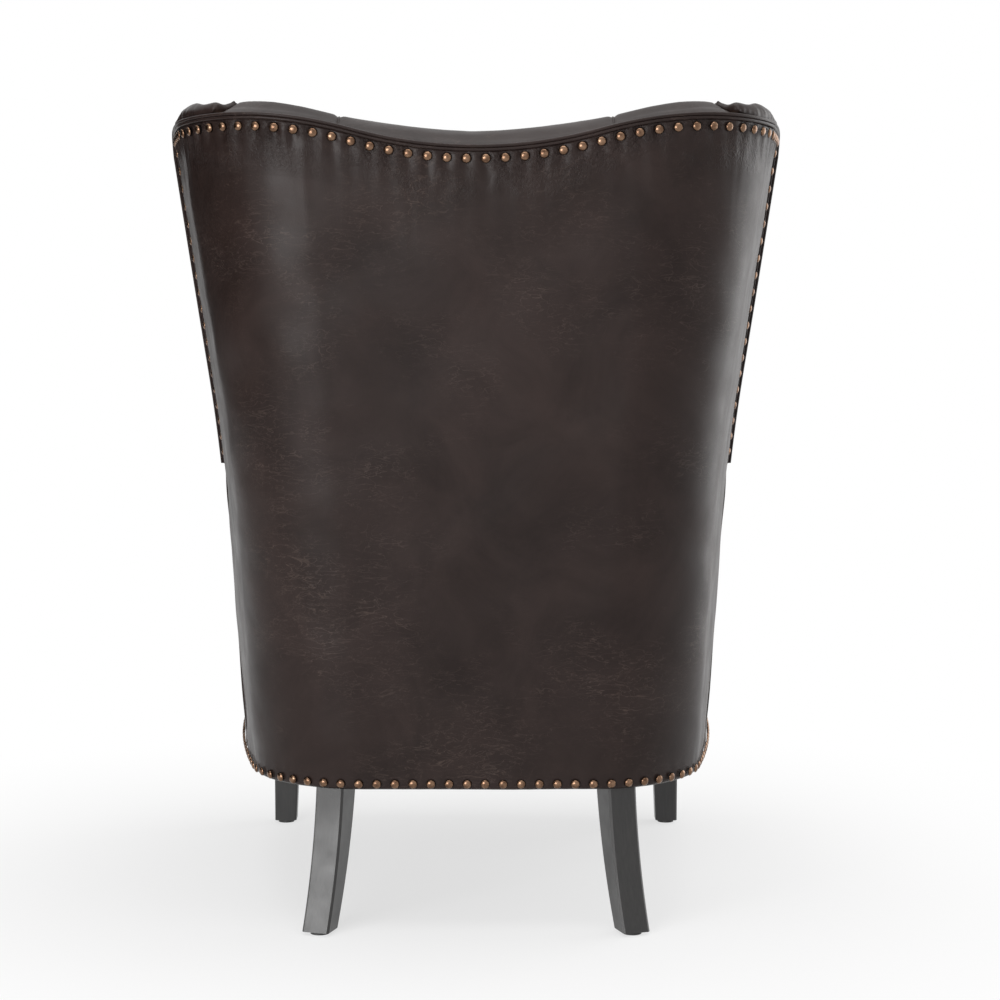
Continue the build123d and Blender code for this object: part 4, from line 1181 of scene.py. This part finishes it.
class Recipe:
    """Shader nodes of one material or of the world, added and linked in short steps."""

    def __init__(self, owner):
        owner.use_nodes = True
        self.owner = owner
        self.tree = owner.node_tree
        self.tree.nodes.clear()

    def put(self, value, socket):
        """Give a socket a link from another socket, or a constant."""
        if isinstance(value, bpy.types.NodeSocket):
            self.tree.links.new(value, socket)
        else:
            socket.default_value = value

    def add(self, kind, *values, settings=None, **named):
        """A node with its settings, and its inputs filled in order or by name."""
        node = self.tree.nodes.new("ShaderNode" + kind)
        for key, value in (settings or {}).items():
            setattr(node, key, value)
        for index, value in enumerate(values):
            self.put(value, node.inputs[index])
        for key, value in named.items():
            self.put(value, node.inputs[key.replace("_", " ")])
        return node

    def noise(self, coords, scale, detail=4.0, rough=0.55, stretch=(1, 1, 1), twist=0.0):
        """Noise on given coordinates."""
        spot = self.add("Mapping", Vector=coords, Scale=stretch).outputs["Vector"]
        sizes = {"Scale": scale, "Detail": detail, "Roughness": rough, "Distortion": twist}
        return self.add("TexNoise", spot, **sizes).outputs[0]

    def cells(self, coords, scale):
        """Cell pattern on given coordinates."""
        return self.add("TexVoronoi", Vector=coords, Scale=scale).outputs["Distance"]

    def ranged(self, value, low, high, to_low=0.0, to_high=1.0, kind="LINEAR"):
        """Value mapped from one range to another."""
        settings = {"clamp": True, "interpolation_type": kind}
        node = self.add("MapRange", value, low, high, to_low, to_high, settings=settings)
        return node.outputs["Result"]

    def calc(self, operation, first, second):
        """Arithmetic of two sockets, or a socket and a number."""
        return self.add("Math", first, second, settings={"operation": operation}).outputs[0]

    def blend(self, factor, first, second):
        """Mix of two colours, each a socket or a colour."""
        node = self.add("Mix", factor, settings={"data_type": "RGBA"})
        for index, value in ((6, first), (7, second)):
            self.put((*value, 1.0) if isinstance(value, tuple) else value, node.inputs[index])
        return node.outputs[2]

    def bump(self, height, distance, strength, before=None):
        """Surface relief from a height."""
        node = self.add("Bump", Height=height, Distance=distance, Strength=strength)
        if before is not None:
            self.put(before, node.inputs["Normal"])
        return node.outputs["Normal"]

    def surface(self, colour, rough, relief, **constants):
        """The material with a finished surface."""
        shader = self.add("BsdfPrincipled", Base_Color=colour, Roughness=rough, Normal=relief, **constants)
        self.add("OutputMaterial", Surface=shader.outputs[0])
        return self.owner


def start_material(name):
    """Recipe of a new material, and its object coordinates."""
    recipe = Recipe(bpy.data.materials.new(name))
    return recipe, recipe.add("TexCoord").outputs["Object"]


LEATHER_DARK = (0.0125, 0.0073, 0.0062)
LEATHER_MID = (0.0255, 0.0160, 0.0140)
LEATHER_HAIRLINE = (0.085, 0.060, 0.050)
BRASS_DARK = (0.105, 0.058, 0.036)
BRASS_BRIGHT = (0.260, 0.160, 0.102)
LACQUER_DARK = (0.0075, 0.0070, 0.0068)
LACQUER_WORN = (0.017, 0.0155, 0.0148)
WOOD_DARK = (0.40, 0.25, 0.14)
WOOD_PALE = (0.56, 0.39, 0.24)
WOOD_FLECK = (0.30, 0.18, 0.10)
BOARD_DARK = (0.20, 0.155, 0.11)
BOARD_PALE = (0.31, 0.25, 0.185)
STEEL_DARK = (0.45, 0.45, 0.46)
STEEL_PALE = (0.66, 0.66, 0.66)
PLASTIC_DARK = (0.012, 0.012, 0.012)
PLASTIC_SCUFFED = (0.035, 0.034, 0.033)


def crease_lines(recipe, coords, stretch, width):
    """Thin wandering lines, longer across than up, where a stretched noise crosses its middle."""
    level = recipe.noise(coords, 1, 3, 0.55, stretch=stretch, twist=0.7)
    apart = recipe.calc("ABSOLUTE", recipe.calc("SUBTRACT", level, 0.5), 0.0)
    return recipe.ranged(apart, 0.0, width, 1.0, 0.0)


def leather(name, gathered=False):
    """Glossy brown leather: mottled finish, pebbled grain, soft creases and hairline crackle."""
    recipe, spot = start_material(name)
    mottle = recipe.ranged(recipe.noise(spot, 9, 6, 0.62, twist=0.6), 0.32, 0.70)
    colour = recipe.blend(mottle, LEATHER_DARK, LEATHER_MID)
    fine = recipe.noise(spot, 34, 5, 0.6, stretch=(1.0, 1.0, 1.9), twist=1.2)
    creases = crease_lines(recipe, spot, (20, 20, 74), 0.011)
    cracks = crease_lines(recipe, spot, (46, 46, 118), 0.014)
    patch = recipe.ranged(recipe.noise(spot, 8, 4, 0.6), 0.44, 0.66)
    lines = recipe.calc("MAXIMUM", creases, recipe.calc("MULTIPLY", cracks, 0.7))
    hairline = recipe.calc("MULTIPLY", recipe.calc("MULTIPLY", lines, patch), fine)
    colour = recipe.blend(hairline, colour, LEATHER_HAIRLINE)
    rough = recipe.ranged(recipe.noise(spot, 21, 5, 0.6), 0.3, 0.72, 0.35, 0.47)
    relief = recipe.bump(recipe.cells(spot, 760), 0.00010, 0.35)
    relief = recipe.bump(fine, 0.0006, 0.20, relief)
    relief = recipe.bump(hairline, 0.0004, 0.30, relief)
    if gathered:
        relief = gather_relief(recipe, relief)
    gloss = {"Specular_IOR_Level": 0.14, "Coat_Weight": 0.05, "Coat_Roughness": 0.20}
    return recipe.surface(colour, rough, relief, **gloss)


def gather_relief(recipe, before):
    """Crinkles where the leather is pulled under the nails, fading down from the edge."""
    layout = recipe.add("UVMap").outputs["UV"]
    down = recipe.add("SeparateXYZ", layout).outputs["Y"]
    streaks = recipe.noise(layout, 1, 5, 0.6, stretch=(120, 34, 1), twist=0.5)
    crinkles = recipe.noise(layout, 1, 4, 0.6, stretch=(250, 190, 1), twist=1.0)
    fade = recipe.ranged(down, 0.010, 0.060, 1.0, 0.0)
    patches = recipe.ranged(recipe.noise(layout, 15, 2), 0.42, 0.58)
    where = recipe.calc("MULTIPLY", fade, patches)
    before = recipe.bump(recipe.calc("MULTIPLY", streaks, where), 0.0020, 0.5, before)
    return recipe.bump(recipe.calc("MULTIPLY", crinkles, where), 0.0040, 0.9, before)


def antique_brass():
    """Dark brass with brighter worn patches that vary at random."""
    recipe, spot = start_material("antique_brass")
    age = recipe.ranged(recipe.noise(spot, 170, 4, 0.6), 0.35, 0.68)
    rough = recipe.ranged(recipe.noise(spot, 420, 3), 0.3, 0.7, 0.20, 0.36)
    relief = recipe.bump(recipe.noise(spot, 500, 3), 0.0002, 0.25)
    return recipe.surface(recipe.blend(age, BRASS_DARK, BRASS_BRIGHT), rough, relief, Metallic=1.0)


def black_lacquer():
    """Satin black lacquer over close-grained wood, a little worn."""
    recipe, spot = start_material("black_lacquer")
    grain = recipe.noise(spot, 60, 5, 0.6, stretch=(7, 7, 0.5), twist=0.4)
    colour = recipe.blend(recipe.ranged(grain, 0.3, 0.7), LACQUER_DARK, LACQUER_WORN)
    rough = recipe.ranged(recipe.noise(spot, 30, 4), 0.3, 0.7, 0.30, 0.44)
    relief = recipe.bump(grain, 0.0003, 0.18)
    return recipe.surface(colour, rough, relief, Coat_Weight=0.12, Coat_Roughness=0.22)


def frame_wood():
    """Plain planed beech."""
    recipe, spot = start_material("frame_wood")
    rings = recipe.noise(spot, 14, 5, 0.6, stretch=(1, 1, 0.12), twist=1.5)
    flecks = recipe.noise(spot, 260, 3, 0.5, stretch=(1, 1, 0.15))
    colour = recipe.blend(recipe.ranged(rings, 0.3, 0.7), WOOD_DARK, WOOD_PALE)
    colour = recipe.blend(recipe.ranged(flecks, 0.58, 0.72), colour, WOOD_FLECK)
    rough = recipe.ranged(flecks, 0.2, 0.8, 0.5, 0.7)
    return recipe.surface(colour, rough, recipe.bump(rings, 0.0006, 0.25))


def backing_board():
    """Grey-brown pressed fibre board."""
    recipe, spot = start_material("backing_board")
    fibres = recipe.noise(spot, 320, 4, 0.65, stretch=(1, 1, 0.6))
    colour = recipe.blend(recipe.ranged(fibres, 0.3, 0.7), BOARD_DARK, BOARD_PALE)
    rough = recipe.ranged(fibres, 0.2, 0.8, 0.75, 0.92)
    return recipe.surface(colour, rough, recipe.bump(fibres, 0.0004, 0.3))


def woven(name, dark, pale, threads, rough):
    """Plain-woven cloth or webbing with crossing threads."""
    recipe, spot = start_material(name)
    heights = []
    for direction in ("X", "Y"):
        settings = {"bands_direction": direction}
        wave = recipe.add("TexWave", spot, settings=settings, Scale=threads, Distortion=0.6, Detail=2)
        heights.append(wave.outputs["Fac"])
    weave = recipe.calc("MULTIPLY", *heights)
    uneven = recipe.noise(spot, 60, 4)
    tone = recipe.calc("MULTIPLY", recipe.calc("ADD", weave, uneven), 0.6)
    colour = recipe.blend(recipe.ranged(tone, 0.15, 0.85), dark, pale)
    rough = recipe.ranged(uneven, 0.2, 0.8, rough - 0.08, rough + 0.06)
    return recipe.surface(colour, rough, recipe.bump(weave, 0.0004, 0.4), Sheen_Weight=0.15)


def bolt_steel():
    """Zinc-plated steel."""
    recipe, spot = start_material("bolt_steel")
    spangle = recipe.noise(spot, 240, 4)
    colour = recipe.blend(spangle, STEEL_DARK, STEEL_PALE)
    rough = recipe.ranged(spangle, 0.2, 0.8, 0.28, 0.45)
    return recipe.surface(colour, rough, recipe.bump(spangle, 0.0002, 0.2), Metallic=1.0)


def glide_plastic():
    """Scuffed black plastic."""
    recipe, spot = start_material("glide_plastic")
    scuff = recipe.noise(spot, 300, 5, 0.6)
    colour = recipe.blend(scuff, PLASTIC_DARK, PLASTIC_SCUFFED)
    rough = recipe.ranged(scuff, 0.2, 0.8, 0.40, 0.62)
    return recipe.surface(colour, rough, recipe.bump(scuff, 0.0002, 0.3))


# The chair

LEATHER = leather("brown_leather")
GATHERED = leather("gathered_leather", gathered=True)
BRASS = antique_brass()
JUTE = woven("jute_webbing", (0.20, 0.135, 0.075), (0.42, 0.31, 0.19), 230, 0.8)
DUST_CLOTH = woven("dust_cloth", (0.006, 0.006, 0.006), (0.022, 0.021, 0.021), 420, 0.85)
DECK_CLOTH = woven("deck_cloth", (0.018, 0.012, 0.010), (0.050, 0.035, 0.028), 330, 0.82)
WOOD, BOARD = frame_wood(), backing_board()
LACQUER, STEEL, PLASTIC = black_lacquer(), bolt_steel(), glide_plastic()
NODE_FINISHES = {
    "leg_bolts": STEEL,
    "glides": PLASTIC,
    "back_board": BOARD,
    "arm_board_left": BOARD,
    "arm_board_right": BOARD,
}


def in_leather(piece, *nodes, body="chair", material=LEATHER):
    """Finish a piece in the brown leather."""
    return finish_piece(piece, body, material, nodes)


def nail_row(name, node, points, outs):
    """A finished row of nail heads in place of a node."""
    finish_piece(nail_heads(name, head, points, outs), "chair", BRASS, [node])


def both_hands(row):
    """Points and directions of a row on both sides of the chair."""
    return [row_points(*row, hand) for hand in (1, -1)]


def one_row(groups):
    """Points and directions of several groups put together."""
    return [np.vstack(group) for group in zip(*groups)]


def sides(left, name):
    """A left piece and its mirrored twin, each with its side."""
    return (left, "left"), (mirrored_piece(left, name + "_right"), "right")


cover, cover_area = leather_sheet("back_wrap", BACK_GRID, back_cover_shape)
in_leather(cover, "outer_back_cover", material=GATHERED)
cover_flat = (2 * float(SEAM_ARCS.max()), BACK_FLAT_HEIGHT)
cover_area = min(cover_area, cover_flat[0] * cover_flat[1])

arm_cover, arm_area = leather_sheet("outer_arm_left", ARM_GRID, arm_cover_shape)
for piece, side in sides(arm_cover, "outer_arm"):
    in_leather(piece, "outer_arm_cover_" + side)

rim_paths = [rim_path(*sizes) for sizes in zip(BEAD_PLACES, WING_BEAD_LIFTS)]
rim_beads = [piping("rim_bead", path, BEAD_RADIUS) for path in rim_paths]
in_leather(join_pieces(rim_beads, "rim_piping"), "double_welt")
arm_beads = [piping("arm_bead", arm_edge_path(offset), BEAD_RADIUS) for offset in BEAD_PLACES]
for piece, side in sides(join_pieces(arm_beads, "arm_piping_left"), "arm_piping"):
    in_leather(piece, "arm_welt_" + side)
joint_beads = [piping("joint_bead", front_joint_path(hand), BEAD_RADIUS) for hand in (1, -1)]
in_leather(join_pieces(joint_beads, "front_piping"))

head = nail_head()
nail_row("crest_nail_heads", "crest_nails", *one_row(both_hands(CREST_ROW)))
front_half = BASE_FRONT_HALF_WIDTH - PAD_IN
front_places = spread(round(2 * front_half / NAIL_PITCH), front_half)
front_line = front_row_points(front_places, BASE_LEVEL + NAIL_INSET)
nail_row("base_nail_heads", "base_nails", *one_row(both_hands(BASE_ROW) + [front_line]))
for side, hand in (("left", 1), ("right", -1)):
    wing_line = row_points(*WING_ROW, hand, -wing_recess(NAIL_INSET))
    nail_row("wing_nail_heads_" + side, "wing_nails_" + side, *wing_line)
    nail_row("arm_nail_heads_" + side, "arm_nails_" + side, *arm_front_row(hand))
bpy.data.objects.remove(head)

back_pad = in_leather(inside_back(), "inside_back_pad")
in_leather(rim_pleats(back_pad))
for make, name, node in ((wing_pad, "wing_pad", "inside_wing_pad"), (arm_pad, "arm_padding", "arm_pad")):
    for piece, side in sides(make(), name):
        in_leather(piece, node + "_" + side)
for piece, side in sides(front_pad("arm_front_panel_left", "arm_front_left"), "arm_front"):
    in_leather(piece, "arm_front_panel_" + side)
border = in_leather(front_pad("front_border", "seat_border"), "front_border")
deck = finish_piece(seat_deck_pad(), "chair", DECK_CLOTH, ["seat_deck"])
cushion, cushion_piping = seat_cushion()
in_leather(cushion, "seat_cushion", body="cushion")
in_leather(cushion_piping, body="cushion")
in_leather(tuft_buttons(), "tuft_buttons")

dust = thin_copy("dust_sheet", "underside_cloth", CLOTH_SAG)
finish_piece(dust, "chair", DUST_CLOTH, ["dust_sheet"])
for node, name in (("seat_webbing", "seat_straps"), ("back_webbing", "back_straps")):
    finish_piece(thin_copy(node, name, 0.0), "chair", JUTE, [node])

for node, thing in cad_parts.items():
    lacquered = node.endswith(("_leg_left", "_leg_right"))
    for place in thing.material_slots:
        place.material = LACQUER if lacquered else NODE_FINISHES.get(node, WOOD)


# Camera, floor and light

CAMERA_PLACE = (0.0, 3.113, 0.753)
CAMERA_TILT = 85
CAMERA_LENS = 90
CAMERA_SENSOR = 36
CAMERA_SHIFT = 0.024
WHITE = (1, 1, 1, 1)
WORLD_FILL = 0.35
FLOOR_SIZE = 60
FLOOR_GREY = (0.92, 0.92, 0.92, 1)
FLOOR_REACH = (0.35, 1.1)
FLOOR_WHITE = (0.66, 1.0)
CARD_CENTRE = (1.6, -0.85, 1.0)
CARD_SIZE = (3.9, 1.5)
CARD_GREY = (0.05, 0.05, 0.05, 1)
SOFTBOXES = (
    ("left_softbox", (1.5, 2.9, 0.75), (0.1, 0.25, 0.6), (1.9, 1.4), 74),
    ("right_softbox", (-2.0, -0.8, 0.9), (-0.3, 0.1, 0.6), (1.8, 1.9), 22),
    ("top_softbox", (0.0, 0.4, 2.8), (0, 0.1, 0.4), (2.4, 2.0), 40),
)


def add_camera():
    """Camera behind the chair at the photograph's height, looking a little down."""
    data = bpy.data.cameras.new("camera")
    data.lens = CAMERA_LENS
    data.sensor_width = CAMERA_SENSOR
    data.shift_x = CAMERA_SHIFT
    camera = bpy.data.objects.new("camera", data)
    camera.location = CAMERA_PLACE
    camera.rotation_euler = (math.radians(CAMERA_TILT), 0, math.pi)
    bpy.context.collection.objects.link(camera)
    bpy.context.scene.camera = camera


def add_softbox(name, place, aim, size, power):
    """Rectangular soft light."""
    data = bpy.data.lights.new(name, "AREA")
    data.shape = "RECTANGLE"
    data.size, data.size_y = size
    data.energy = power
    lamp = bpy.data.objects.new(name, data)
    lamp.location = place
    lamp.rotation_euler = (Vector(aim) - Vector(place)).to_track_quat("-Z", "Y").to_euler()
    bpy.context.collection.objects.link(lamp)


def seen_directly(recipe):
    """Factor that is 1 for rays of the camera, of gloss and of clear materials."""
    path = recipe.add("LightPath").outputs
    seen = recipe.calc("MAXIMUM", path["Is Camera Ray"], path["Is Glossy Ray"])
    return recipe.calc("MAXIMUM", seen, path["Is Transmission Ray"])


def add_world():
    """White surroundings, with a plain level of light on the object."""
    world = bpy.data.worlds.new("studio")
    recipe = Recipe(world)
    fill = recipe.add("Background", Color=WHITE, Strength=WORLD_FILL).outputs[0]
    white = recipe.add("Background", Color=WHITE).outputs[0]
    mix = recipe.add("MixShader", seen_directly(recipe), fill, white)
    recipe.add("OutputWorld", mix.outputs[0])
    bpy.context.scene.world = world


def add_plane(name, size):
    """A named plane of the stage."""
    deselect_all()
    bpy.ops.mesh.primitive_plane_add(size=size)
    bpy.context.object.name = name
    return bpy.context.object


def finish_stage(piece, recipe, shader):
    """Give a piece of the stage its surface."""
    recipe.add("OutputMaterial", Surface=shader.outputs[0])
    piece.data.materials.append(recipe.owner)


def add_floor():
    """Pale floor that keeps the chair's shadow and is plain white further out."""
    floor = add_plane("floor", FLOOR_SIZE)
    recipe, spot = start_material("pale_floor")
    reach = recipe.add("VectorMath", spot, settings={"operation": "LENGTH"}).outputs["Value"]
    share = recipe.ranged(reach, *FLOOR_REACH, *FLOOR_WHITE, kind="SMOOTHSTEP")
    matt = recipe.add("BsdfDiffuse", Color=FLOOR_GREY).outputs[0]
    glow = recipe.add("Emission", Strength=1.0).outputs[0]
    white = recipe.calc("MULTIPLY", seen_directly(recipe), share)
    finish_stage(floor, recipe, recipe.add("MixShader", white, matt, glow))


def add_card():
    """Dark card on the left, out of the picture, that keeps glare off that side."""
    card = add_plane("dark_card", 1)
    points = read_points(card)
    x, y, z = CARD_CENTRE
    length, height = CARD_SIZE
    write_points(card, np.stack((np.full(4, x), y + length * points[:, 0], z + height * points[:, 1]), -1))
    card.visible_camera = False
    recipe = Recipe(bpy.data.materials.new("dark_card"))
    finish_stage(card, recipe, recipe.add("BsdfDiffuse", Color=CARD_GREY))


add_camera()
add_world()
add_floor()
for softbox in SOFTBOXES:
    add_softbox(*softbox)
add_card()
bpy.context.scene.view_settings.view_transform = "Standard"
